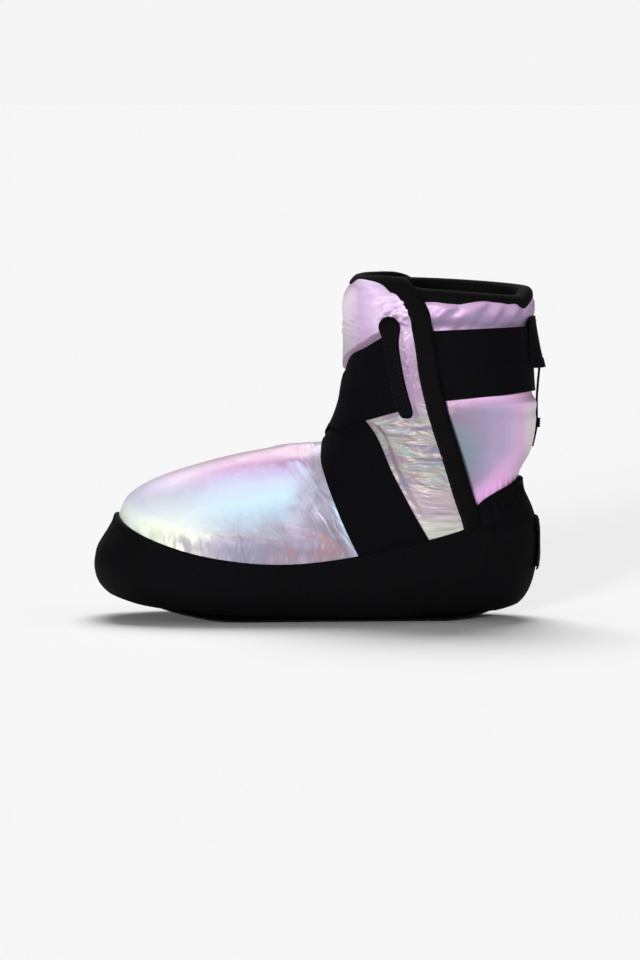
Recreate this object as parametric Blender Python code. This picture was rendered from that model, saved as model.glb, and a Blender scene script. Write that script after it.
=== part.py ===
"""Padded dance warm-up boot, a left boot standing empty on its sole.

The whole boot hangs on one form, the last: a row of sections that fan from upright at the toe,
through the ankle, to level at the collar. Walls, overlays and straps are lifts of that form.
Sizes below are in millimetres, toe towards -X, outer side towards -Y, floor at Z = 0.
"""
import math
from collections import namedtuple

import bmesh
import bpy
import numpy as np
from mathutils import Vector
from mathutils.bvhtree import BVHTree

for old_object in list(bpy.data.objects):
    bpy.data.objects.remove(old_object, do_unlink=True)

# Driving sizes
MM = 0.001
GAP = 0.3
WALL = 6.0
RIM_WALL = 4.6
OUTSOLE_THICK = 4.0
RAND_FLOOR = 3.4
INSOLE_THICK = 6.0
RAND_LIP = 1.9
RAND_BULGE = 6.1
RAND_RAMP = 30.0
SPRING_START_X = -50.0
SPRING_END_X = -120.0
SPRING_RISE = 15.5
SPRING_POWER = 1.8
HEEL_START_X = 78.0
HEEL_END_X = 114.0
HEEL_RISE = 7.6
HEEL_POWER = 1.6
RIM_START_ROWS = 2.6
RIM_RAMP_ROWS = 1.6
FLAP_CLEAR = 2.8
FLAP_THIN = 1.6
FLAP_PAD = 4.4
FLAP_EDGE_PAD = 0.55
FLAP_FOOT_RAMP = 30.0
FLAP_FRONT_RAMP_ROWS = 2.4
FLAP_EDGE_RAMP = 24.0
FLAP_SEWN_RAMP = 14.0
SEWN_EASE = 12.0
TAPE_ROOM = 0.45
TAPE_LEG = 8.0
TAPE_THICK = 1.6
TAPE_CROWN = 3.2
TAPE_CROWN_HALF = 1.9
EDGE_TAPE_IN = 6.2
EDGE_TAPE_OVER = 1.9
EDGE_TAPE_BEYOND = 1.4
EDGE_TAPE_BITE = 0.4
EDGE_INSET = 4.6
EDGE_LOW_Z = 58.0
EDGE_HIGH_Z = 194.0
TOP_TAPE_TURNS = (64.0, -44.0)
STRAP_THICK = 1.4
STRAP_CLEAR = 0.95
STRAP_HIGH_Z = 185.0
CROSSING_LIFT = STRAP_THICK + 1.3
SLOT_HALF = 3.9
SLOT_HIGH = 2.6
SLOT_BULB = 0.45
TAB_HALF_WIDTH = 20.0
TAB_TOP_Z = 190.0
TAB_LOW_Z = 158.0
TAB_SEAT = STRAP_CLEAR + STRAP_THICK + 2 * GAP
TAB_STAND_OFF = 5.2
TAB_CURL = 1.2
TAB_THICK = 1.6
LABEL_HALF_WIDTH = 14.0
LABEL_TOP_Z = 66.0
LABEL_LOW_Z = 34.0
LABEL_SEAT = 0.5
LABEL_THICK = 1.3
SOLE_EDGE = 0.9
CORD_RADIUS = 0.75
KNOT_CENTRE = (137.9, 12.0, 122.2)
KNOT_HALF = (2.1, 2.4, 3.8)

# How finely the forms are divided, and how far cutters and rays reach past the boot
RING_SIDES = 28
FLAP_HALF_SIDES = 10
BAND_FINE = 12
BAND_STEP = 8.0
BAND_ACROSS = 4
FAR_X = 150.0
FAR_Y = 90.0
FAR_LOW_Z = -50.0
FAR_HIGH_Z = 260.0
RAY_START = 300.0

# The last: one row for each section, from the toe to the collar
Section = namedtuple(
    "Section", "top_x top_z low_x low_z half_width middle round_top round_low bend")
LAST = np.array([
    Section(-133.3, 50.0, -133.3, 41.5, 6.0, 0.50, 2.0, 2.0, 6.0),
    Section(-131.7, 60.0, -131.7, 33.5, 17.0, 0.46, 2.0, 2.1, 5.8),
    Section(-127.0, 69.0, -127.0, 28.0, 27.5, 0.42, 2.0, 2.3, 5.4),
    Section(-117.0, 78.5, -117.5, 22.5, 37.5, 0.38, 2.1, 2.5, 4.6),
    Section(-101.0, 87.0, -101.0, 17.0, 45.5, 0.35, 2.1, 3.1, 3.4),
    Section(-80.0, 94.3, -80.0, 11.8, 50.0, 0.33, 2.1, 3.4, 2.0),
    Section(-52.0, 101.7, -52.0, 8.4, 51.5, 0.33, 2.1, 3.5, 0.6),
    Section(-22.0, 107.2, -20.0, 8.0, 49.5, 0.33, 2.1, 3.5, -0.6),
    Section(1.0, 110.2, 37.0, 8.0, 46.5, 0.36, 2.1, 3.3, -1.0),
    Section(11.0, 118.0, 66.0, 8.0, 45.0, 0.40, 2.1, 3.0, -0.8),
    Section(18.5, 133.0, 95.0, 10.2, 44.0, 0.45, 2.1, 2.6, -0.4),
    Section(22.0, 144.0, 117.0, 18.0, 43.5, 0.48, 2.1, 2.3, 0.0),
    Section(23.3, 152.5, 128.5, 41.0, 43.5, 0.50, 2.1, 2.2, 0.0),
    Section(23.8, 160.5, 128.2, 67.0, 44.0, 0.50, 2.1, 2.2, 0.0),
    Section(24.0, 168.0, 126.0, 89.5, 45.0, 0.50, 2.1, 2.2, 0.0),
    Section(24.0, 177.0, 133.2, 109.0, 47.0, 0.50, 2.1, 2.2, 0.0),
    Section(24.0, 184.0, 137.0, 130.5, 48.5, 0.50, 2.1, 2.2, 0.0),
    Section(24.3, 191.5, 133.4, 150.0, 49.0, 0.50, 2.1, 2.2, 0.0),
    Section(25.2, 201.0, 132.4, 178.0, 49.0, 0.50, 2.1, 2.2, 0.0),
    Section(27.0, 211.0, 132.0, 204.0, 49.5, 0.50, 2.1, 2.2, 0.0),
    Section(29.5, 220.5, 131.5, 214.0, 49.5, 0.50, 2.1, 2.2, 0.0),
])
FLAP_FIRST = 9.0
RAND_LAST = 14.7
COLLAR = 19
FLAP_LAST = 20.0

# Edges read in side view: where the rand ends, and the flap's open edge
Spot = namedtuple("Spot", "x z")
RAND_EDGE = [
    Spot(-150.0, 93.0), Spot(-131.0, 74.0), Spot(-127.0, 69.0), Spot(-122.5, 62.7),
    Spot(-112.5, 56.5), Spot(-97.3, 49.1), Spot(-74.7, 42.2), Spot(-46.9, 37.8),
    Spot(-21.7, 36.5), Spot(-1.6, 37.8), Spot(24.3, 41.6), Spot(45.0, 46.6), Spot(69.6, 51.7),
    Spot(92.9, 58.6), Spot(101.6, 62.0), Spot(104.4, 72.8), Spot(113.0, 79.5), Spot(126.0, 87.5),
    Spot(150.0, 103.0),
]
FLAP_EDGE = [
    Spot(103.5, 40.0), Spot(101.2, 60.5), Spot(94.6, 80.6), Spot(88.6, 100.8), Spot(80.4, 126.0),
    Spot(77.6, 136.1), Spot(72.9, 156.2), Spot(71.0, 171.4), Spot(68.4, 186.5), Spot(66.0, 198.0),
    Spot(60.0, 206.2), Spot(49.0, 211.8), Spot(36.0, 215.2), Spot(20.0, 216.4), Spot(0.0, 216.6),
]
SLOT = [Spot(44.6, 190.0), Spot(46.9, 174.5), Spot(49.5, 155.6), Spot(52.6, 141.1), Spot(55.4, 130.5)]

# The two edges of each run of elastic, as places seen from a named side of the boot
Place = namedtuple("Place", "x z side")
INSTEP_FRONT = [
    Place(24.0, 43.0, "outer"), Place(15.9, 58.2, "outer"), Place(7.5, 78.1, "outer"),
    Place(3.6, 91.0, "outer"), Place(1.4, 101.0, "outer"), Place(1.0, 0.0, "top"),
    Place(12.0, 117.0, "inner"), Place(31.0, 126.0, "inner"), Place(54.0, 133.5, "inner"),
    Place(84.0, 139.5, "inner"), Place(112.0, 141.5, "inner"), Place(0.0, 142.4, "back"),
    Place(112.0, 141.5, "outer"), Place(90.0, 139.8, "outer"), Place(63.0, 137.0, "outer"),
]
INSTEP_REAR = [
    Place(69.0, 53.4, "outer"), Place(62.8, 64.0, "outer"), Place(54.5, 77.5, "outer"),
    Place(44.5, 95.0, "outer"), Place(33.0, 120.0, "outer"), Place(0.0, 148.0, "front"),
    Place(24.0, 166.0, "inner"), Place(40.0, 177.0, "inner"), Place(62.0, 182.5, "inner"),
    Place(88.0, 184.5, "inner"), Place(113.0, 185.3, "inner"), Place(0.0, 185.4, "back"),
    Place(113.0, 185.3, "outer"), Place(88.0, 184.5, "outer"), Place(58.0, 183.0, "outer"),
]
BACK_ROW = 11
ANKLE_REAR = [
    Place(39.0, 180.5, "outer"), Place(30.0, 172.8, "outer"), Place(21.5, 168.0, "outer"),
    Place(0.0, 156.0, "front"), Place(26.0, 139.0, "inner"), Place(33.0, 120.0, "inner"),
    Place(44.5, 95.0, "inner"), Place(62.8, 64.0, "inner"), Place(69.0, 53.4, "inner"),
]
ANKLE_FRONT = [
    Place(49.4, 133.5, "outer"), Place(34.0, 127.0, "outer"), Place(14.0, 119.0, "outer"),
    Place(1.0, 0.0, "top"), Place(1.4, 101.0, "inner"), Place(3.6, 91.0, "inner"),
    Place(7.5, 78.1, "inner"), Place(17.5, 55.0, "inner"), Place(24.0, 43.0, "inner"),
]

# The outsole's outline, the cord's route and a line that runs inside the boot
Outline = namedtuple("Outline", "x outer inner")
SOLE = [
    Outline(-122.0, -8.0, 16.0), Outline(-119.0, -17.0, 24.5), Outline(-109.0, -27.5, 33.5),
    Outline(-92.0, -36.0, 40.5), Outline(-68.0, -41.0, 43.0), Outline(-44.0, -41.5, 42.0),
    Outline(-15.0, -38.5, 38.0), Outline(18.0, -34.5, 33.0), Outline(52.0, -32.5, 31.5),
    Outline(82.0, -31.0, 30.5), Outline(101.0, -26.0, 25.5), Outline(111.0, -17.5, 17.5),
    Outline(114.0, -9.0, 9.0),
]
CORD_ROUTE = [
    (138.3, 0.0, 163.5), (138.8, 0.5, 157.0), (138.3, 2.5, 150.5), (138.0, 5.5, 145.0),
    (137.7, 8.5, 139.5), (137.7, 10.8, 133.5), (137.8, 11.9, 126.6),
]
TAIL_ROUTE = [(137.3, 12.0, 117.8), (136.3, 11.6, 113.0), (135.0, 11.2, 107.2)]
CORE = [(-120.0, 4.0, 45.0), (-40.0, 0.0, 50.0), (55.0, 0.0, 75.0), (78.0, 0.0, 220.0)]


def smoothstep(value):
    """Ease from 0 to 1 with flat ends."""
    value = np.clip(value, 0.0, 1.0)
    return value * value * (3.0 - 2.0 * value)


def through(points, steps):
    """A smooth curve through a few points, with a number of steps in each span."""
    rows = np.array(points, float)
    rows = np.vstack([2 * rows[0] - rows[1], rows, 2 * rows[-1] - rows[-2]])
    curve = []
    for i in range(1, len(rows) - 2):
        before, here, there, after = rows[i - 1:i + 3]
        for f in np.arange(steps) / steps:
            curve.append(0.5 * (2 * here + (there - before) * f
                                + (2 * before - 5 * here + 4 * there - after) * f ** 2
                                + (3 * here - before - 3 * there + after) * f ** 3))
    curve.append(rows[-2])
    return np.array(curve)


RAND_LINE = through(RAND_EDGE, 2)
FLAP_LINE = through(FLAP_EDGE, 3)


def rand_edge_z(x):
    return np.interp(x, RAND_LINE[:, 0], RAND_LINE[:, 1])


def flap_edge_x(z):
    return np.interp(z, FLAP_LINE[:, 1], FLAP_LINE[:, 0])


def spring_z(x):
    """Height of the sole's underside: flat in the middle, sprung at toe and heel."""
    toe = np.clip((SPRING_START_X - x) / (SPRING_START_X - SPRING_END_X), 0.0, None)
    heel = np.clip((x - HEEL_START_X) / (HEEL_END_X - HEEL_START_X), 0.0, None)
    return SPRING_RISE * toe ** SPRING_POWER + HEEL_RISE * heel ** HEEL_POWER


def section_at(place):
    """The last's section at any place between two rows."""
    final = len(LAST) - 1
    row = np.clip(np.floor(place).astype(int), 0, final - 1)
    f = (place - row)[..., None]
    before = LAST[np.maximum(row - 1, 0)]
    here = LAST[row]
    there = LAST[row + 1]
    after = LAST[np.minimum(row + 2, final)]
    mixed = 0.5 * (2 * here + (there - before) * f
                   + (2 * before - 5 * here + 4 * there - after) * f ** 2
                   + (3 * here - before - 3 * there + after) * f ** 3)
    return Section(*np.moveaxis(mixed, -1, 0))


def last_point(place, turn):
    """A point of the last. Turn is 0 at the top or front, 90 on the outer side, 180 at the sole."""
    part = section_at(place)
    up = np.cos(np.radians(turn))
    out = np.sin(np.radians(turn))
    power = 2.0 / np.where(up >= 0, part.round_top, part.round_low)
    arm = np.where(up >= 0, 1.0 - part.middle, part.middle)
    along = part.middle + np.sign(up) * arm * np.abs(up) ** power
    x = part.low_x + along * (part.top_x - part.low_x)
    z = part.low_z + along * (part.top_z - part.low_z)
    y = part.bend - np.sign(out) * part.half_width * np.abs(out) ** power
    return np.stack([x, y, z], axis=-1)


def last_frame(place, turn):
    """Points of the last and the outward normals there."""
    place, turn = np.broadcast_arrays(np.asarray(place, float), np.asarray(turn, float))
    small = 0.02
    ahead = last_point(np.minimum(place + small, len(LAST) - 1), turn)
    behind = last_point(np.maximum(place - small, 0.0), turn)
    left = last_point(place, turn + 1.5)
    right = last_point(place, turn - 1.5)
    normal = np.cross(left - right, ahead - behind)
    normal /= np.linalg.norm(normal, axis=-1, keepdims=True)
    return last_point(place, turn), normal


def rand_lift(point):
    depth = rand_edge_z(point[..., 0]) - point[..., 2]
    return GAP + RAND_LIP + RAND_BULGE * smoothstep(depth / RAND_RAMP)


def flap_lifts(place, point):
    """The flap's inner and outer lift: thin at its sewn edges, padded between."""
    x, y, z = np.moveaxis(point, -1, 0)
    from_edge = flap_edge_x(z) - x
    foot = smoothstep((z - rand_edge_z(x)) / FLAP_FOOT_RAMP)
    foot = foot * smoothstep((place - FLAP_FIRST) / FLAP_FRONT_RAMP_ROWS)
    inside = smoothstep(from_edge / FLAP_EDGE_RAMP)
    outer_side = foot * (FLAP_EDGE_PAD + (1.0 - FLAP_EDGE_PAD) * inside)
    pad = np.where(y < 0, outer_side, foot * inside)
    over_tape = smoothstep((z - STRAP_HIGH_Z) / TAPE_LEG)
    sewn = np.maximum(smoothstep(from_edge / FLAP_SEWN_RAMP), over_tape)
    clear = np.where(y < 0, foot, foot * sewn)
    lowest = GAP + (FLAP_CLEAR - GAP) * clear
    return lowest, lowest + FLAP_THIN + FLAP_PAD * pad


def material(name, colour, roughness, metallic=0.0):
    finish = bpy.data.materials.new(name)
    finish.use_nodes = True
    shader = finish.node_tree.nodes["Principled BSDF"]
    shader.inputs["Base Color"].default_value = (*colour, 1.0)
    shader.inputs["Roughness"].default_value = roughness
    shader.inputs["Metallic"].default_value = metallic
    return finish


def add_object(name, mesh_builder, finish):
    """Make a named object from a bmesh whose sizes are in millimetres."""
    bmesh.ops.recalc_face_normals(mesh_builder, faces=mesh_builder.faces)
    bmesh.ops.scale(mesh_builder, vec=(MM, MM, MM), verts=mesh_builder.verts)
    mesh = bpy.data.meshes.new(name)
    mesh_builder.to_mesh(mesh)
    mesh_builder.free()
    thing = bpy.data.objects.new(name, mesh)
    bpy.context.collection.objects.link(thing)
    if finish:
        mesh.materials.append(finish)
        mesh.shade_smooth()
        mesh.set_sharp_from_angle(angle=math.radians(40))
    return thing


def cut(thing, cutter, operation="DIFFERENCE"):
    tool = thing.modifiers.new(cutter.name, "BOOLEAN")
    tool.operation = operation
    tool.solver = "EXACT"
    tool.object = cutter


def prism(name, outline, low_y=-FAR_Y, high_y=FAR_Y):
    """A cutter: a side-view outline carried straight across the boot."""
    builder = bmesh.new()
    corners = [builder.verts.new((x, low_y, z)) for x, z in outline]
    face = builder.faces.new(corners)
    carried = bmesh.ops.extrude_face_region(builder, geom=[face])["geom"]
    moved = [item for item in carried if isinstance(item, bmesh.types.BMVert)]
    bmesh.ops.translate(builder, vec=(0.0, high_y - low_y, 0.0), verts=moved)
    cutter = add_object(name, builder, None)
    cutter.hide_render = True
    cutter.display_type = "WIRE"
    return cutter


def lattice(builder, points, ring):
    """A grid of points as triangles, all split the same way, closed round its rows for a ring."""
    grid = [[builder.verts.new(point) for point in row] for row in points]
    columns = len(grid[0])
    for i in range(len(grid) - 1):
        for j in range(columns if ring else columns - 1):
            k = (j + 1) % columns
            builder.faces.new((grid[i][j], grid[i][k], grid[i + 1][k]))
            builder.faces.new((grid[i][j], grid[i + 1][k], grid[i + 1][j]))
    return grid


def bridge(builder, first, second, ring):
    count = len(first)
    for j in range(count if ring else count - 1):
        k = (j + 1) % count
        builder.faces.new((first[j], first[k], second[k], second[j]))


def ring_shell(name, outer, inner, finish):
    """A tube wall closed at the toe and open at its last row."""
    builder = bmesh.new()
    outside = lattice(builder, outer, True)
    inside = lattice(builder, inner, True)
    builder.faces.new(outside[0])
    builder.faces.new(inside[0])
    bridge(builder, outside[-1], inside[-1], True)
    return add_object(name, builder, finish)


def patch_shell(name, outer, inner, finish):
    """A sheet with thickness, closed along its four edges."""
    builder = bmesh.new()
    outside = lattice(builder, outer, False)
    inside = lattice(builder, inner, False)
    for row in (0, -1):
        bridge(builder, outside[row], inside[row], False)
        bridge(builder, [line[row] for line in outside], [line[row] for line in inside], False)
    return add_object(name, builder, finish)


def sweep(name, frames, outlines, finish, closed=False):
    """Carry outlines, across and outward, along a path of point, across and outward frames."""
    builder = bmesh.new()
    rings = []
    for (point, across, outward), outline in zip(frames, outlines):
        rings.append([point + across * a + outward * b for a, b in outline])
    grid = lattice(builder, rings, True)
    if closed:
        bridge(builder, grid[-1], grid[0], True)
    else:
        builder.faces.new(grid[0])
        builder.faces.new(grid[-1])
    return add_object(name, builder, finish)


def surface_tree(points):
    """A search tree on a grid of points, closed round its rows."""
    rows, columns = points.shape[:2]
    faces = []
    for i in range(rows - 1):
        for j in range(columns):
            k = (j + 1) % columns
            faces.append((i * columns + j, i * columns + k, (i + 1) * columns + k, (i + 1) * columns + j))
    return BVHTree.FromPolygons([Vector(point) for point in points.reshape(-1, 3)], faces)


def land(tree, place):
    """Where a ray from the named side meets a surface."""
    starts = {
        "outer": ((place.x, -RAY_START, place.z), (0, 1, 0)),
        "inner": ((place.x, RAY_START, place.z), (0, -1, 0)),
        "front": ((-RAY_START, 0.0, place.z), (1, 0, 0)),
        "back": ((RAY_START, 0.0, place.z), (-1, 0, 0)),
        "top": ((place.x, 0.0, RAY_START), (0, 0, -1)),
    }
    start, direction = starts[place.side]
    return np.array(tree.ray_cast(Vector(start), Vector(direction))[0])


def rest_on(tree, point, outside):
    """The nearest point of a surface and its normal, turned outward."""
    spot, normal = tree.find_nearest(Vector(point))[:2]
    normal = np.array(normal)
    if np.dot(normal, outside) < 0:
        normal = -normal
    return np.array(spot), normal


def core_point(point):
    """The nearest point of a line that runs inside the boot, from the toe to the collar."""
    corners = np.array(CORE)
    near = []
    for start, end in zip(corners[:-1], corners[1:]):
        f = np.clip(np.dot(point - start, end - start) / np.dot(end - start, end - start), 0, 1)
        near.append(start + (end - start) * f)
    return min(near, key=lambda spot: np.linalg.norm(point - spot))


def band(name, first_edge, second_edge, trees, lift_at, finish):
    """A flat strap between two edge routes, laid on the surface that carries it."""
    first = through([land(trees(i), spot) for i, spot in enumerate(first_edge)], BAND_FINE)
    second = through([land(trees(i), spot) for i, spot in enumerate(second_edge)], BAND_FINE)
    middle = (first + second) / 2
    run = np.concatenate([[0.0], np.cumsum(np.linalg.norm(np.diff(middle, axis=0), axis=1))])
    inner, outer = [], []
    for distance in np.linspace(0.0, run[-1], round(run[-1] / BAND_STEP) + 1):
        k = int(np.argmin(np.abs(run - distance)))
        row = k / BAND_FINE
        lift = lift_at(row)
        inner_row, outer_row = [], []
        for f in np.arange(BAND_ACROSS + 1) / BAND_ACROSS:
            guess = first[k] * (1 - f) + second[k] * f
            spot, normal = rest_on(trees(row), guess, guess - core_point(guess))
            inner_row.append(spot + normal * lift)
            outer_row.append(spot + normal * (lift + STRAP_THICK))
        inner.append(inner_row)
        outer.append(outer_row)
    return patch_shell(name, outer, inner, finish)


# Finishes
black_cloth = material("black_padded_cloth", (0.012, 0.012, 0.014), 0.75)
sheen_cloth = material("lilac_sheen_cloth", (0.62, 0.47, 0.66), 0.32, 0.35)
elastic = material("black_elastic", (0.010, 0.010, 0.012), 0.8)
tape = material("black_knit_tape", (0.009, 0.009, 0.010), 0.85)
sole_rubber = material("black_sole_rubber", (0.014, 0.014, 0.015), 0.6)
foam = material("black_insole_foam", (0.02, 0.02, 0.022), 0.9)
label_cloth = material("black_label_cloth", (0.014, 0.014, 0.016), 0.7)
cord_finish = material("black_cord", (0.01, 0.01, 0.012), 0.7)

# Grids of the last: a coarse one for the solids, a fine one to lay straps on
places = np.concatenate([np.arange(0.0, 3.0, 0.5), np.arange(3.0, 9.0, 0.75),
                         np.linspace(9.0, COLLAR, 17)])
turns = np.arange(RING_SIDES) * 360.0 / RING_SIDES
coarse_place, coarse_turn = np.meshgrid(places, turns, indexing="ij")
coarse, coarse_normal = last_frame(coarse_place, coarse_turn)
fine_place, fine_turn = np.meshgrid(np.linspace(0.0, FLAP_LAST, 150), np.arange(0.0, 360.0, 3.0),
                                    indexing="ij")
fine, fine_normal = last_frame(fine_place, fine_turn)


def lifted(points, normals, lift):
    return points + normals * np.asarray(lift)[..., None]


def dress_lift(place, point):
    """How far the closed flap stands off the last, eased down beyond its sewn edges."""
    x, y, z = np.moveaxis(point, -1, 0)
    past_edge = x - flap_edge_x(z)
    on_flap = (place >= FLAP_FIRST) & (past_edge < 0)
    ease_front = smoothstep(place - FLAP_FIRST + 1.0) * (place < FLAP_FIRST)
    ease_edge = (1 - smoothstep(past_edge / SEWN_EASE)) * (place >= FLAP_FIRST) * (y > 0)
    sewn = (GAP + FLAP_THIN) * np.maximum(ease_front, ease_edge)
    return np.where(on_flap, flap_lifts(place, point)[1], sewn)


# The surfaces that straps lie on: the bare upper, the boot with its flap closed, and the rand
skin_tree = surface_tree(fine)
dress_tree = surface_tree(lifted(fine, fine_normal, dress_lift(fine_place, fine)))
rand_tree = surface_tree(lifted(fine, fine_normal, rand_lift(fine)))


def sole_cut_line(height):
    stations = np.linspace(-FAR_X, FAR_X, 41)
    return [(x, spring_z(x) + height) for x in stations]


FLOOR_LIFT = OUTSOLE_THICK + GAP + RAND_FLOOR + GAP
BELOW = [(FAR_X, FAR_LOW_Z), (-FAR_X, FAR_LOW_Z)]
ABOVE = [(FAR_X, FAR_HIGH_Z), (-FAR_X, FAR_HIGH_Z)]
over_rand_line = [(x, z + GAP) for x, z in RAND_LINE]
under_upper = prism("cut_under_upper", sole_cut_line(FLOOR_LIFT + INSOLE_THICK + GAP) + BELOW)
over_insole = prism("cut_over_insole", sole_cut_line(FLOOR_LIFT + INSOLE_THICK) + ABOVE)
over_rand = prism("cut_over_rand", [tuple(spot) for spot in RAND_LINE] + ABOVE)
under_flap = prism("cut_under_flap", over_rand_line + BELOW)
flap_foot_x = LAST[0][0] / 4
flap_low = [(x, z) for x, z in over_rand_line if flap_foot_x < x < FLAP_EDGE[1].x]
flap_side = [(x, z) for x, z in FLAP_LINE if z > rand_edge_z(x) + GAP]
flap_shape = prism("keep_flap", flap_low + flap_side + [(flap_foot_x, FLAP_EDGE[-1].z)])

# Upper: one hollow wall from the toe to the collar, open above and underneath
wall = WALL + (RIM_WALL - WALL) * smoothstep((coarse_place - COLLAR + RIM_START_ROWS) / RIM_RAMP_ROWS)
upper = ring_shell("upper", coarse, lifted(coarse, coarse_normal, -wall), sheen_cloth)
cut(upper, under_upper)

# Rand: the black cup outside the upper's foot, level where it stands on the outsole
foot_rows = places <= RAND_LAST
rand_outside = lifted(coarse, coarse_normal, rand_lift(coarse))[foot_rows]
stand = spring_z(rand_outside[..., 0]) + OUTSOLE_THICK + GAP
rand_outside[..., 2] = np.maximum(rand_outside[..., 2], stand)
rand = ring_shell("rand", rand_outside, lifted(coarse, coarse_normal, GAP)[foot_rows], black_cloth)
cut(rand, over_rand)

# Insole: the lowest slice of the last, under the upper's edge
builder = bmesh.new()
slice_grid = lattice(builder, lifted(coarse, coarse_normal, -GAP)[foot_rows], True)
builder.faces.new(slice_grid[0])
builder.faces.new(slice_grid[-1])
insole = add_object("insole", builder, foam)
cut(insole, over_insole)

# Front flap: a padded panel over the front of the upper, open along its outer edge
flap_places = np.concatenate([places[places >= FLAP_FIRST], [COLLAR + 0.5, FLAP_LAST]])
flap_turns = np.arange(-FLAP_HALF_SIDES, FLAP_HALF_SIDES + 1) * 360.0 / RING_SIDES
flap_place, flap_turn = np.meshgrid(flap_places, flap_turns, indexing="ij")
flap_base, flap_normal = last_frame(flap_place, flap_turn)
flap_inner, flap_outer = flap_lifts(flap_place, flap_base)
front_flap = patch_shell("front_flap", lifted(flap_base, flap_normal, flap_outer),
                         lifted(flap_base, flap_normal, flap_inner), sheen_cloth)
cut(front_flap, flap_shape, "INTERSECT")

# Collar binding: a folded tape over the rim of the upper
half_rim = RIM_WALL / 2
leg_in = half_rim + 2 * GAP
leg_out = leg_in + TAPE_THICK
COLLAR_TAPE = [
    (-leg_in, -TAPE_LEG), (-leg_in, 2 * GAP), (leg_in, 2 * GAP), (leg_in, -TAPE_LEG),
    (leg_out, -TAPE_LEG), (leg_out, GAP), (TAPE_CROWN_HALF, TAPE_CROWN), (-TAPE_CROWN_HALF, TAPE_CROWN),
    (-leg_out, GAP), (-leg_out, -TAPE_LEG),
]
rim, rim_normal = last_frame(np.full(RING_SIDES, float(COLLAR)), turns)
below_rim = last_point(np.full(RING_SIDES, COLLAR - 0.6), turns)
rim_up = (rim - below_rim) / np.linalg.norm(rim - below_rim, axis=-1, keepdims=True)
rim_frames = list(zip(rim - rim_normal * half_rim, rim_normal, rim_up))
collar_binding = sweep("collar_binding", rim_frames, [COLLAR_TAPE] * RING_SIDES, tape, closed=True)

# Flap binding: folded tape up the flap's outer edge, over its top and round to the inner side


def flap_top_z(x):
    ends = FLAP_LINE[::-1]
    return np.interp(x, ends[:, 0], ends[:, 1])


def top_edge_points(turn_values):
    """Points of the closed flap a little below its top edge, at given turns."""
    spots = []
    heights = np.linspace(COLLAR - 3.0, FLAP_LAST, 160)
    for turn in turn_values:
        base, normal = last_frame(heights, np.full(heights.shape, turn))
        column = lifted(base, normal, flap_lifts(heights, base)[1])
        above = column[:, 2] - flap_top_z(column[:, 0]) + EDGE_INSET
        spots.append(column[np.argmax(above > 0)])
    return spots


side_heights = np.linspace(EDGE_LOW_Z, EDGE_HIGH_Z, 16)
side_spots = [land(dress_tree, Place(flap_edge_x(z) - EDGE_INSET, z, "outer")) for z in side_heights]
tape_line = np.array(side_spots + top_edge_points(np.linspace(*TOP_TAPE_TURNS, 13)))


def path_frames(line, tree):
    """Point, across and outward directions along a line that lies on a surface."""
    frames = []
    for k, point in enumerate(line):
        heading = line[min(k + 1, len(line) - 1)] - line[max(k - 1, 0)]
        outward = rest_on(tree, point, point - core_point(point))[1]
        across = np.cross(heading, outward)
        across /= np.linalg.norm(across)
        frames.append((point, across, outward))
    return frames


def flap_tape_outline(edge_depth):
    """A rounded block over the flap's edge; the flap's own room is cut out of it."""
    edge = EDGE_INSET + TAPE_ROOM
    nose = edge + EDGE_TAPE_BEYOND
    heel = edge - EDGE_TAPE_BEYOND / 2
    return [
        (-EDGE_TAPE_IN, -EDGE_TAPE_BITE), (-EDGE_TAPE_IN + GAP, EDGE_TAPE_OVER - GAP),
        (0.0, EDGE_TAPE_OVER + GAP), (heel, EDGE_TAPE_OVER), (nose, GAP),
        (nose, -edge_depth), (heel, -edge_depth), (heel, -EDGE_TAPE_BITE),
    ]


def tape_rings(frames):
    """The tape's outline at each frame, its turned edge stopping short of the upper."""
    for point, across, outward in frames:
        height = np.linalg.norm(point - rest_on(skin_tree, point, outward)[0])
        yield flap_tape_outline(max(height - FLAP_CLEAR - 2 * TAPE_ROOM, 2 * EDGE_TAPE_BITE))


tape_frames = path_frames(tape_line, dress_tree)
flap_binding = sweep("flap_binding", tape_frames, list(tape_rings(tape_frames)), tape)
flap_room = patch_shell("cut_flap_room", lifted(flap_base, flap_normal, flap_outer + TAPE_ROOM),
                        lifted(flap_base, flap_normal, flap_inner - FLAP_CLEAR), None)
flap_room.hide_render = True
flap_room.display_type = "WIRE"
room_side = [(x + TAPE_ROOM, z + TAPE_ROOM) for x, z in FLAP_LINE]
room_front = [(flap_foot_x, room_side[-1][1]), (flap_foot_x, room_side[0][1])]
cut(flap_room, prism("keep_flap_room", room_side + room_front), "INTERSECT")
cut(flap_binding, flap_room)
cut(flap_binding, under_flap)

# Slot binding: a short rounded bead along the slot that the elastic comes through
slot_line = through([land(dress_tree, Place(x, z, "outer")) for x, z in SLOT], 3)


def slot_rings(count):
    """A low rounded bead, wider at its top end."""
    for k in range(count):
        half = SLOT_HALF * (1.0 + SLOT_BULB * (1.0 - smoothstep(k / 4.0)))
        yield [(-half, STRAP_CLEAR), (-half * 0.9, 0.6 * SLOT_HIGH), (-half * 0.4, SLOT_HIGH),
               (half * 0.4, SLOT_HIGH), (half * 0.9, 0.6 * SLOT_HIGH), (half, STRAP_CLEAR)]


slot_binding = sweep("slot_binding", path_frames(slot_line, dress_tree),
                     list(slot_rings(len(slot_line))), tape)

# Elastic: from the outer rand over the instep, up the inner side, round the back, under the flap


def under_the_flap(row):
    return skin_tree if row >= BACK_ROW else dress_tree


instep_strap = band("instep_strap", INSTEP_FRONT, INSTEP_REAR, under_the_flap,
                    lambda row: STRAP_CLEAR, elastic)

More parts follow.
